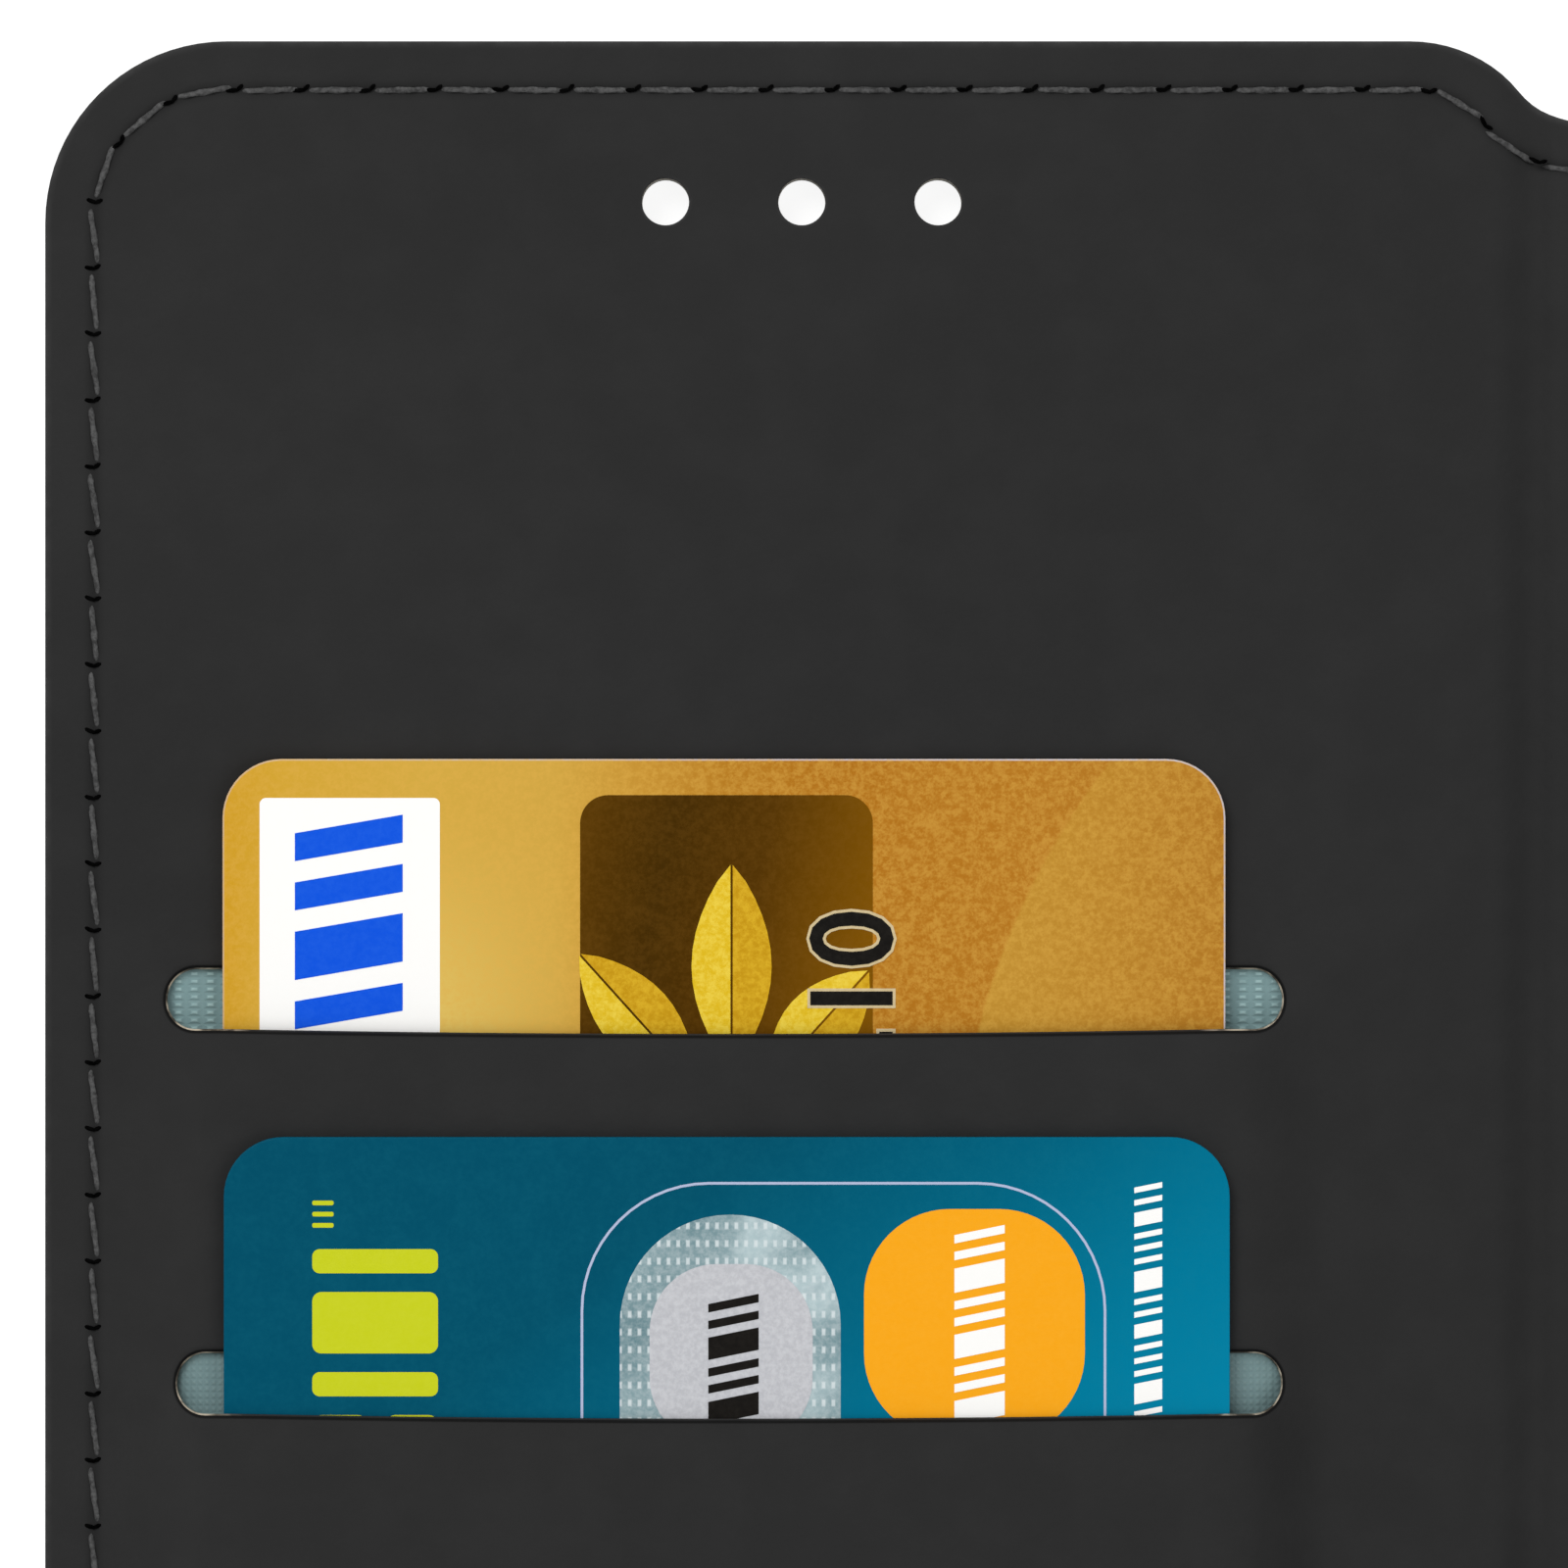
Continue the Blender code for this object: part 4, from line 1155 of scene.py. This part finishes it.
def leather_grain_group():
    """Fine napped leather: tiny pebbles, soft creases and a faint mottle of the dye."""
    tree, start, end = new_group(
        "leather_grain",
        [("Vector", "vector"), ("Pebble scale", "value"), ("Dye", "colour"), ("Worn dye", "colour")],
        [("Colour", "colour"), ("Roughness", "value"), ("Height", "value")],
    )
    cells = tree.nodes.new("ShaderNodeTexVoronoi")
    cells.feature = "SMOOTH_F1"
    cells.inputs["Smoothness"].default_value = 0.6
    tree.links.new(start.outputs["Vector"], cells.inputs["Vector"])
    tree.links.new(start.outputs["Pebble scale"], cells.inputs["Scale"])
    fine = noise(tree, start.outputs["Vector"], maths(tree, "MULTIPLY", start.outputs["Pebble scale"], 2.3))
    mottle = spread(tree, noise(tree, start.outputs["Vector"], 260.0, 4.0, 0.6), 0.35, 0.7, 0.0, 0.6)
    broad = spread(tree, noise(tree, start.outputs["Vector"], 28.0, 2.0, 0.5), 0.3, 0.75, 0.0, 0.4)
    wear = maths(tree, "ADD", mottle, broad)
    lit = maths(tree, "MULTIPLY", wear, spread(tree, fine, 0.25, 0.75, 0.45, 1.0))
    colour = mix(tree, lit, start.outputs["Dye"], start.outputs["Worn dye"])
    height = maths(tree, "ADD", cells.outputs["Distance"], maths(tree, "MULTIPLY", fine, 0.6))
    tree.links.new(colour, end.inputs["Colour"])
    tree.links.new(spread(tree, fine, 0.2, 0.8, 0.66, 0.86), end.inputs["Roughness"])
    tree.links.new(height, end.inputs["Height"])
    return tree


def edge_highlight_and_rub_group():
    """Painted highlight, with some rubbing, along an edge, broken up by noise."""
    tree, start, end = new_group(
        "edge_highlight_and_rub",
        [("Vector", "vector"), ("Colour", "colour"), ("Rubbed", "colour"), ("Edge", "value")],
        [("Colour", "colour"), ("Mask", "value")],
    )
    broken = spread(tree, noise(tree, start.outputs["Vector"], 900.0), 0.3, 0.7, 0.25, 1.0)
    mask = maths(tree, "MULTIPLY", start.outputs["Edge"], broken)
    colour = mix(tree, mask, start.outputs["Colour"], start.outputs["Rubbed"])
    tree.links.new(colour, end.inputs["Colour"])
    tree.links.new(mask, end.inputs["Mask"])
    return tree


def cloth_weave_group():
    """A plain weave along X and Y, with its height and a mask of the raised threads."""
    tree, start, end = new_group(
        "cloth_weave",
        [("Vector", "vector"), ("Threads across", "value"), ("Threads along", "value")],
        [("Raised", "value"), ("Height", "value")],
    )
    split = tree.nodes.new("ShaderNodeSeparateXYZ")
    tree.links.new(start.outputs["Vector"], split.inputs[0])
    waves = []
    for axis, count in (("X", "Threads across"), ("Y", "Threads along")):
        turn = maths(tree, "MULTIPLY", split.outputs[axis], start.outputs[count])
        waves.append(maths(tree, "COSINE", maths(tree, "MULTIPLY", turn, 2 * math.pi)))
    both = maths(tree, "MINIMUM", waves[0], waves[1])
    tree.links.new(spread(tree, both, 0.0, 0.75), end.inputs["Raised"])
    tree.links.new(maths(tree, "MULTIPLY", both, 0.5), end.inputs["Height"])
    return tree


def print_speckle_group():
    """The fine metallic speckle of printed foil and the faint mottle of printed ink."""
    tree, start, end = new_group(
        "print_speckle",
        [("Vector", "vector"), ("Ink", "colour"), ("Bright fleck", "colour"), ("Amount", "value")],
        [("Colour", "colour"), ("Roughness", "value"), ("Height", "value")],
    )
    fleck = noise(tree, start.outputs["Vector"], 2900.0, 4.0, 0.75)
    cloud = noise(tree, start.outputs["Vector"], 700.0, 3.0)
    mask = maths(tree, "MULTIPLY", spread(tree, fleck, 0.36, 0.66), start.outputs["Amount"])
    shade = maths(tree, "ADD", mask, spread(tree, cloud, 0.3, 0.7, -0.02, 0.03))
    colour = mix(tree, shade, start.outputs["Ink"], start.outputs["Bright fleck"])
    tree.links.new(colour, end.inputs["Colour"])
    tree.links.new(spread(tree, fleck, 0.2, 0.8, 0.3, 0.48), end.inputs["Roughness"])
    tree.links.new(fleck, end.inputs["Height"])
    return tree


GROUPS = {}
CARD_GLOSS = 0.02


def start_material(name):
    material = bpy.data.materials.new(name)
    material.use_nodes = True
    tree = material.node_tree
    place = tree.nodes.new("ShaderNodeTexCoord").outputs["Object"]
    return material, tree, tree.nodes["Principled BSDF"], place


def use_group(tree, name, vector, **values):
    node = tree.nodes.new("ShaderNodeGroup")
    node.node_tree = GROUPS[name]
    tree.links.new(vector, node.inputs["Vector"])
    for key, value in values.items():
        socket = node.inputs[key.replace("_", " ")]
        if isinstance(value, (int, float, tuple)):
            socket.default_value = value
        else:
            tree.links.new(value, socket)
    return node.outputs


def bump(tree, shader, height, strength, distance):
    node = tree.nodes.new("ShaderNodeBump")
    node.inputs["Strength"].default_value = strength
    node.inputs["Distance"].default_value = distance
    tree.links.new(height, node.inputs["Height"])
    tree.links.new(node.outputs["Normal"], shader.inputs["Normal"])


def attribute(tree, name):
    node = tree.nodes.new("ShaderNodeAttribute")
    node.attribute_name = name
    return node.outputs["Fac"]


WORN_DYE = srgb(46, 46, 46)
# Painted highlight, with some rubbing, for the rounded edges of the leather
EDGE_HIGHLIGHT_AND_RUB = srgb(58, 58, 58)
# Painted shade for the rounded tops of slot edges and for the seam's furrow
PAINTED_EDGE_SHADE = srgb(8, 8, 8)


def leather(name, dye, scale, relief):
    """Dyed leather. Above 0, rim lightens an edge with painted highlight and some rubbing; below 0, it
    darkens the edge with painted shade. cut bares the raw edge.
    """
    material, tree, shader, place = start_material(name)
    rim = attribute(tree, "rim")
    grain = use_group(tree, "leather_grain", place, Pebble_scale=scale, Dye=dye, Worn_dye=WORN_DYE)
    # rim above 0 paints a highlight, with some rubbing, along rounded edges
    highlight_and_rub = use_group(tree, "edge_highlight_and_rub", place, Colour=grain["Colour"], Rubbed=EDGE_HIGHLIGHT_AND_RUB, Edge=rim)
    # rim below 0 darkens slot edges and the seam's furrow with painted shade
    dark = mix(tree, maths(tree, "MULTIPLY", rim, -0.85), highlight_and_rub["Colour"], PAINTED_EDGE_SHADE)
    frayed = spread(tree, noise(tree, place, 900.0), 0.38, 0.62)
    raw = mix(tree, frayed, srgb(74, 68, 60), srgb(196, 184, 164))
    tree.links.new(mix(tree, attribute(tree, "cut"), dark, raw), shader.inputs["Base Color"])
    tree.links.new(grain["Roughness"], shader.inputs["Roughness"])
    shader.inputs["Specular IOR Level"].default_value = 0.06
    shader.inputs["Sheen Weight"].default_value = 0.02
    shader.inputs["Sheen Roughness"].default_value = 0.6
    bump(tree, shader, grain["Height"], relief, 0.04 * MM)
    return material


def woven(tree, place, across, along):
    """The weave group, from the distances between its threads along X and along Y."""
    return use_group(tree, "cloth_weave", place, Threads_across=1 / across, Threads_along=1 / along)


def mesh_cloth():
    """Open mesh cloth: rows of short bright floats over a darker ground."""
    material, tree, shader, place = start_material("blue_grey_mesh")
    weave = woven(tree, place, 0.87 * MM, 0.42 * MM)
    ground = mix(tree, noise(tree, place, 1800.0), srgb(117, 148, 150), srgb(131, 160, 162))
    uneven = spread(tree, noise(tree, place, 700.0), 0.35, 0.6, 0.35, 1.0)
    seen = maths(tree, "MULTIPLY", weave["Raised"], uneven)
    colour = mix(tree, seen, ground, srgb(160, 192, 192))
    tree.links.new(colour, shader.inputs["Base Color"])
    tree.links.new(spread(tree, noise(tree, place, 2500.0), 0.2, 0.8, 0.7, 0.9), shader.inputs["Roughness"])
    bump(tree, shader, weave["Height"], 0.6, 0.12 * MM)
    return material


def plain_cloth():
    material, tree, shader, place = start_material("blue_grey_cloth")
    weave = woven(tree, place, 0.36 * MM, 0.36 * MM)
    ground = mix(tree, noise(tree, place, 900.0), srgb(107, 133, 135), srgb(119, 146, 147))
    colour = mix(tree, maths(tree, "MULTIPLY", weave["Raised"], 0.35), ground, srgb(132, 156, 155))
    tree.links.new(colour, shader.inputs["Base Color"])
    tree.links.new(spread(tree, noise(tree, place, 2500.0), 0.2, 0.8, 0.72, 0.9), shader.inputs["Roughness"])
    bump(tree, shader, weave["Height"], 0.5, 0.06 * MM)
    return material


def ramp(tree, value, stops):
    """A colour ramp. stops are pairs of a place from 0 to 1 and a colour."""
    node = tree.nodes.new("ShaderNodeValToRGB")
    elements = node.color_ramp.elements
    while len(elements) > 1:
        elements.remove(elements[-1])
    elements[0].position, elements[0].color = stops[0]
    for position, colour in stops[1:]:
        elements.new(position).color = colour
    tree.links.new(value, node.inputs["Fac"])
    return node.outputs["Color"]


def card_place(tree, place, low, high):
    """Position on a card: X from 0 to 1 across it and Y in card widths down from its top."""
    centred = tree.nodes.new("ShaderNodeMapping")
    centred.inputs["Location"].default_value = (-low.x / (high.x - low.x), high.y / (high.x - low.x), 0)
    across = 1 / (high.x - low.x)
    centred.inputs["Scale"].default_value = (across, -across, across)
    tree.links.new(place, centred.inputs["Vector"])
    split = tree.nodes.new("ShaderNodeSeparateXYZ")
    tree.links.new(centred.outputs[0], split.inputs[0])
    return split.outputs["X"], split.outputs["Y"]


def lay_ink(tree, shader, place, colour, fleck, amount, gloss, relief):
    """Lays a printed colour with metallic flecks on a shader."""
    speckle = use_group(tree, "print_speckle", place, Ink=colour, Bright_fleck=fleck, Amount=amount)
    tree.links.new(speckle["Colour"], shader.inputs["Base Color"])
    tree.links.new(speckle["Roughness"], shader.inputs["Roughness"])
    shader.inputs["Specular IOR Level"].default_value = gloss
    bump(tree, shader, speckle["Height"], relief, 0.01 * MM)


# A wide arc on the gold card: its centre and the radii between which the print changes, in card widths
GOLD_ARC_CENTRE = (1.457, 0.450)
GOLD_ARC_FADE = (0.7285, 0.7235)


def gold_card():
    """Gold printing: pale on the left, deeper in the middle, and lighter again beyond a wide arc."""
    material, tree, shader, place = start_material("gold_card_print")
    x, y = card_place(tree, place, UPPER_CARD_LOW, UPPER_CARD_HIGH)
    across = ramp(tree, x, (
        (0.00, srgb(205, 154, 36)), (0.06, srgb(208, 162, 52)), (0.20, srgb(208, 166, 66)),
        (0.33, srgb(205, 162, 66)), (0.42, srgb(194, 142, 50)), (0.50, srgb(180, 122, 34)),
        (0.60, srgb(174, 111, 26)), (0.80, srgb(178, 116, 32)), (1.00, srgb(174, 116, 36)),
    ))
    left = spread(tree, x, 0.40, 0.16)
    glow = maths(tree, "MULTIPLY", left, spread(tree, y, 0.02, 0.34, 0.0, 0.75))
    glow = maths(tree, "MULTIPLY", glow, spread(tree, x, 0.0, 0.14))
    lit = mix(tree, glow, across, srgb(232, 206, 116))
    dx = maths(tree, "SUBTRACT", x, GOLD_ARC_CENTRE[0])
    dy = maths(tree, "SUBTRACT", y, GOLD_ARC_CENTRE[1])
    square = maths(tree, "ADD", maths(tree, "MULTIPLY", dx, dx), maths(tree, "MULTIPLY", dy, dy))
    beyond = spread(tree, maths(tree, "SQRT", square), *GOLD_ARC_FADE)
    beyond = maths(tree, "MULTIPLY", beyond, spread(tree, x, 1.05, 0.76))
    swept = mix(tree, beyond, lit, srgb(188, 138, 48))
    # A silvery painted highlight along the card's rounded edge, stronger towards the right
    rim = spread(tree, attribute(tree, "rim"), 0.02, 0.4)
    painted_edge_highlight = maths(tree, "MULTIPLY", rim, spread(tree, x, 0.0, 0.9, 0.45, 1.0))
    swept = mix(tree, painted_edge_highlight, swept, srgb(200, 194, 200))
    lay_ink(tree, shader, place, swept, srgb(220, 172, 76), 0.42, CARD_GLOSS, 0.05)
    return material


def teal_card():
    """Teal printing that turns bluer and lighter towards the lower right."""
    material, tree, shader, place = start_material("teal_card_print")
    x, y = card_place(tree, place, LOWER_CARD_LOW, LOWER_CARD_HIGH)
    slide = maths(tree, "ADD", x, maths(tree, "MULTIPLY", y, 1.25))
    colour = ramp(tree, maths(tree, "MULTIPLY", slide, 0.5), (
        (0.0, srgb(2, 77, 101)), (0.27, srgb(2, 79, 103)), (0.42, srgb(1, 98, 126)),
        (0.56, srgb(0, 120, 153)), (0.70, srgb(2, 132, 168)), (1.0, srgb(0, 112, 150)),
    ))
    lay_ink(tree, shader, place, colour, srgb(30, 130, 150), 0.05, CARD_GLOSS, 0.03)
    return material


def ink(name, colour, fleck, amount, gloss):
    material, tree, shader, place = start_material(name)
    lay_ink(tree, shader, place, srgb(*colour), srgb(*fleck), amount, gloss, 0.03)
    return material


def brown_print():
    """The dark square, lighter towards its lower right."""
    material, tree, shader, place = start_material("brown_print")
    x, y = card_place(tree, place, UPPER_CARD_LOW, UPPER_CARD_HIGH)
    colour = ramp(tree, maths(tree, "ADD", x, maths(tree, "MULTIPLY", y, 0.2)), (
        (0.0, srgb(92, 58, 4)), (0.37, srgb(88, 56, 4)), (0.46, srgb(66, 42, 3)),
        (0.56, srgb(82, 51, 3)), (0.68, srgb(124, 80, 3)), (1.0, srgb(124, 80, 3)),
    ))
    lay_ink(tree, shader, place, colour, srgb(140, 96, 30), 0.12, CARD_GLOSS, 0.03)
    return material


def shifting_foil():
    """Silver foil whose tint shifts in soft clouds, with rows of fine bright dashes."""
    material, tree, shader, place = start_material("silver_foil")
    clouds = noise(tree, place, 170.0, 2.0, 0.5)
    colour = ramp(tree, clouds, (
        (0.30, srgb(96, 132, 140)), (0.48, srgb(134, 162, 168)), (0.60, srgb(178, 200, 204)),
        (0.72, srgb(138, 160, 168)),
    ))
    rows = woven(tree, place, 0.52 * MM, 0.95 * MM)
    dashes = maths(tree, "MULTIPLY", rows["Raised"], 0.75)
    printed = mix(tree, dashes, colour, srgb(222, 232, 234))
    bright = srgb(236, 242, 242)
    speckle = use_group(tree, "print_speckle", place, Ink=printed, Bright_fleck=bright, Amount=0.2)
    tree.links.new(speckle["Colour"], shader.inputs["Base Color"])
    tree.links.new(speckle["Roughness"], shader.inputs["Roughness"])
    shader.inputs["Metallic"].default_value = 0.2
    bump(tree, shader, clouds, 0.1, 0.03 * MM)
    return material


def spun_thread(name, dark, light):
    material, tree, shader, place = start_material(name)
    fibres = noise(tree, place, 3800.0, 4.0, 0.65)
    tree.links.new(mix(tree, spread(tree, fibres, 0.3, 0.7), dark, light), shader.inputs["Base Color"])
    tree.links.new(spread(tree, fibres, 0.2, 0.8, 0.55, 0.75), shader.inputs["Roughness"])
    shader.inputs["Specular IOR Level"].default_value = 0.1
    bump(tree, shader, fibres, 0.35, 0.04 * MM)
    return material


def plain_finish(name, dark, light, scale, roughness, relief, metal=0.0, gloss=0.5):
    """A simple finish with a fine texture, for moulded, pressed and hidden pieces and for the painted shadow
    in the needle holes.
    """
    material, tree, shader, place = start_material(name)
    texture = noise(tree, place, scale, 4.0, 0.6)
    colour = mix(tree, spread(tree, texture, 0.3, 0.7), srgb(*dark), srgb(*light))
    tree.links.new(colour, shader.inputs["Base Color"])
    low, high = roughness
    tree.links.new(spread(tree, texture, 0.2, 0.8, low, high), shader.inputs["Roughness"])
    shader.inputs["Metallic"].default_value = metal
    shader.inputs["Specular IOR Level"].default_value = gloss
    bump(tree, shader, texture, relief, 0.03 * MM)
    return material


# Printed inks and foils: colour, bright flecks, how much of them, and gloss
INKS = {
    "white_print": ((252, 251, 248), (255, 255, 255), 0.1, 0.05),
    "blue_print": ((14, 84, 222), (60, 130, 240), 0.1, 0.05),
    "gold_foil": ((222, 184, 28), (250, 228, 96), 0.45, 0.1),
    # Gold foil darkened with painted shade, for the leaves' shaded halves
    "shaded_gold_foil": ((196, 148, 14), (236, 196, 48), 0.45, 0.1),
    "cream_print": ((204, 184, 140), (228, 212, 176), 0.3, 0.05),
    "black_print": ((22, 20, 18), (60, 56, 50), 0.1, 0.05),
    "pearl_foil": ((186, 187, 192), (224, 225, 228), 0.35, 0.05),
    "lime_print": ((198, 206, 31), (214, 220, 70), 0.1, 0.05),
    "pale_line": ((176, 186, 214), (200, 206, 226), 0.2, 0.05),
    "orange_print": ((248, 167, 25), (252, 184, 62), 0.1, 0.05),
}
# Moulded, pressed and hidden pieces: name, dark and light grey or tint, scale, roughness and relief
PLAIN_FINISHES = {
    "tray": ("soft_black_plastic", (33, 33, 34), (41, 41, 42), 3000.0, (0.42, 0.56), 0.12),
    "board": ("grey_board", (140, 134, 124), (170, 164, 152), 900.0, (0.85, 0.95), 0.3),
    "pad": ("adhesive_pad", (214, 212, 204), (232, 230, 224), 1200.0, (0.75, 0.9), 0.2),
    "magnet": ("plated_steel", (180, 180, 182), (206, 206, 208), 1500.0, (0.25, 0.4), 0.05, 1.0),
    # The near-black of the needle holes is painted shadow
    "needle_marks": ("needle_shadow", (3, 3, 3), (9, 9, 9), 2000.0, (0.9, 1.0), 0.1, 0.0, 0.0),
}


def make_groups():
    for make in (leather_grain_group, edge_highlight_and_rub_group, cloth_weave_group, print_speckle_group):
        tree = make()
        GROUPS[tree.name] = tree


def make_finishes():
    finishes = {
        "inner_leather": leather("black_inner_leather", srgb(41, 41, 41), 2600.0, 0.35),
        "outer_leather": leather("black_outer_leather", srgb(39, 39, 39), 1500.0, 0.6),
        "mesh_fabric": mesh_cloth(),
        "plain_fabric": plain_cloth(),
        "gold_card": gold_card(),
        "teal_card": teal_card(),
        "brown_print": brown_print(),
        "silver_foil": shifting_foil(),
        "stitches": spun_thread("grey_thread", srgb(52, 52, 52), srgb(88, 88, 88)),
    }
    for name, values in INKS.items():
        finishes[name] = ink(name, *values)
    for name, values in PLAIN_FINISHES.items():
        finishes[name] = plain_finish(*values)
    return finishes


def paint(piece, material):
    piece.data.materials.clear()
    piece.data.materials.append(material)


# ---- stage ----------------------------------------------------------------------------------------------

VIEW_CENTRE = (-HALF_WIDTH + 39.84 * MM, HALF_HEIGHT - 40.05 * MM)
VIEW_WIDTH = 84.50 * MM
LENS = 250.0
SENSOR = 36.0


def add_camera():
    data = bpy.data.cameras.new("camera")
    data.lens = LENS
    data.sensor_width = SENSOR
    data.clip_start = 0.01
    data.clip_end = 20.0
    camera = add_object("camera", data)
    camera.location = (*VIEW_CENTRE, FLAP_TOP + VIEW_WIDTH * LENS / SENSOR)
    bpy.context.scene.camera = camera


def area_light(name, place, aim, size, power):
    data = bpy.data.lights.new(name, "AREA")
    data.shape = "DISK"
    data.size = size
    data.energy = power
    light = add_object(name, data)
    light.location = place
    light.rotation_euler = (Vector(aim) - Vector(place)).to_track_quat("-Z", "Y").to_euler()


# The floor's radius and height, from its flat middle to its raised edge
FLOOR_RINGS = ((2.2, 0.0), (2.6, 0.03), (2.85, 0.12), (3.0, 0.30), (3.05, 0.60))


def add_floor():
    """A wide pale floor whose far edge curves up, so that a low view has no horizon."""
    shape = bmesh.new()
    rings = []
    for radius, height in FLOOR_RINGS:
        loop = arc((0, 0), radius, 0, 360, 64)[:-1]
        rings.append([shape.verts.new((x, y, height - 0.12 * MM)) for x, y in loop])
    shape.faces.new(rings[0])
    for inner, outer in zip(rings, rings[1:]):
        for i in range(len(inner)):
            shape.faces.new((inner[i - 1], outer[i - 1], outer[i], inner[i]))
    for face in shape.faces:
        face.smooth = True
    floor = finish_mesh("floor", shape)
    material, tree, shader, place = start_material("pale_floor")
    colour = mix(tree, noise(tree, place, 30.0), (0.28, 0.28, 0.28, 1), (0.32, 0.32, 0.32, 1))
    tree.links.new(colour, shader.inputs["Base Color"])
    shader.inputs["Roughness"].default_value = 0.9
    shader.inputs["Specular IOR Level"].default_value = 0.1
    shader.inputs["Emission Color"].default_value = (1, 1, 1, 1)
    shader.inputs["Emission Strength"].default_value = 0.88
    paint(floor, material)


def add_light():
    world = bpy.data.worlds.new("studio")
    world.use_nodes = True
    background = world.node_tree.nodes["Background"]
    background.inputs["Color"].default_value = (1, 1, 1, 1)
    background.inputs["Strength"].default_value = 0.52
    bpy.context.scene.world = world
    aim = (-0.05, 0.03, 0)
    area_light("key", (-0.35, 0.55, 0.75), aim, 0.55, 4.6)
    area_light("fill", (0.6, -0.3, 0.8), aim, 0.8, 2.3)


# ---- assembly -------------------------------------------------------------------------------------------

FLAP_FOLD = ((-GROOVE_X, 0, 0), (-SPINE_EDGE, 0, 0))
BACK_FOLD = ((SPINE_EDGE, 0, 0), (GROOVE_X, 0, 0))


def fit_leather(finishes):
    flap_inner, back_inner = inner_leather()
    flap_outer, back_outer = outer_leather()
    flap = ((flap_inner, "inner_leather"), (flap_outer, "outer_leather"))
    back = ((back_inner, "inner_leather"), (back_outer, "outer_leather"))
    for piece, finish in flap:
        paint(piece, finishes[finish])
        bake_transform(piece, "front_flap", "spine", *FLAP_FOLD)
    for piece, finish in back:
        paint(piece, finishes[finish])
        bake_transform(piece, "spine", "back_cover", *BACK_FOLD)
    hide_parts("front_lining", "spine_lining")
    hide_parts("front_outer_skin", "spine_outer_skin")
    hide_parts("back_lining")
    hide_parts("back_outer_skin")


def fit_cloth(finishes):
    for piece, node, finish, low, high in (
        (upper_liner(), "upper_pocket_liner", "mesh_fabric", UPPER_LINER_LOW, UPPER_LINER_HIGH),
        (lower_liner(), "lower_pocket_liner", "plain_fabric", LOWER_LINER_LOW, LOWER_LINER_HIGH),
    ):
        paint(piece, finishes[finish])
        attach(piece, "front_flap")
        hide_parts(node)


def fit_cards(finishes):
    upper = card_body("gold_card", UPPER_CARD_LOW, UPPER_CARD_HIGH)
    lower = card_body("teal_card", LOWER_CARD_LOW, LOWER_CARD_HIGH)
    for piece, node, body, finish in (
        (upper, "upper_card", "card_upper", "gold_card"), (lower, "lower_card", "card_lower", "teal_card")
    ):
        paint(piece, finishes[finish])
        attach(piece, body)
        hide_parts(node)
    for piece, finish in (*gold_print(), *gold_digits()):
        paint(piece, finishes[finish])
        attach(piece, "card_upper")
    for piece, finish in teal_print():
        paint(piece, finishes[finish])
        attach(piece, "card_lower")


def fit_seam(finishes):
    stands_for = {
        ("flap", "stitches"): ("front_thread",),
        ("spine", "stitches"): ("spine_thread_top", "spine_thread_bottom"),
        ("back", "stitches"): ("back_thread",),
    }
    bodies = {"flap": "front_flap", "spine": "spine", "back": "back_cover"}
    for zone, word, piece in seam(finishes):
        if zone == "flap_fold":
            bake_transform(piece, "front_flap", "spine", *FLAP_FOLD)
        elif zone == "back_fold":
            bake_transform(piece, "spine", "back_cover", *BACK_FOLD)
        else:
            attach(piece, bodies[zone])
        if (zone, word) in stands_for:
            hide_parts(*stands_for[(zone, word)])


def fit_tray(finishes):
    tray = moulded_tray()
    paint(tray, finishes["tray"])
    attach(tray, "back_cover")
    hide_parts("phone_tray")


def finish_hidden_pieces(finishes):
    for nodes, finish in (
        (("front_board", "spine_board", "back_board"), "board"),
        (("front_magnet", "back_magnet"), "magnet"),
        (("tray_adhesive_pad",), "pad"),
    ):
        for node in nodes:
            paint(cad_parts[node], finishes[finish])


def main():
    bpy.context.scene.view_settings.view_transform = "Standard"
    add_camera()
    add_floor()
    add_light()
    make_groups()
    finishes = make_finishes()
    fit_leather(finishes)
    fit_cloth(finishes)
    fit_cards(finishes)
    fit_seam(finishes)
    fit_tray(finishes)
    finish_hidden_pieces(finishes)


main()
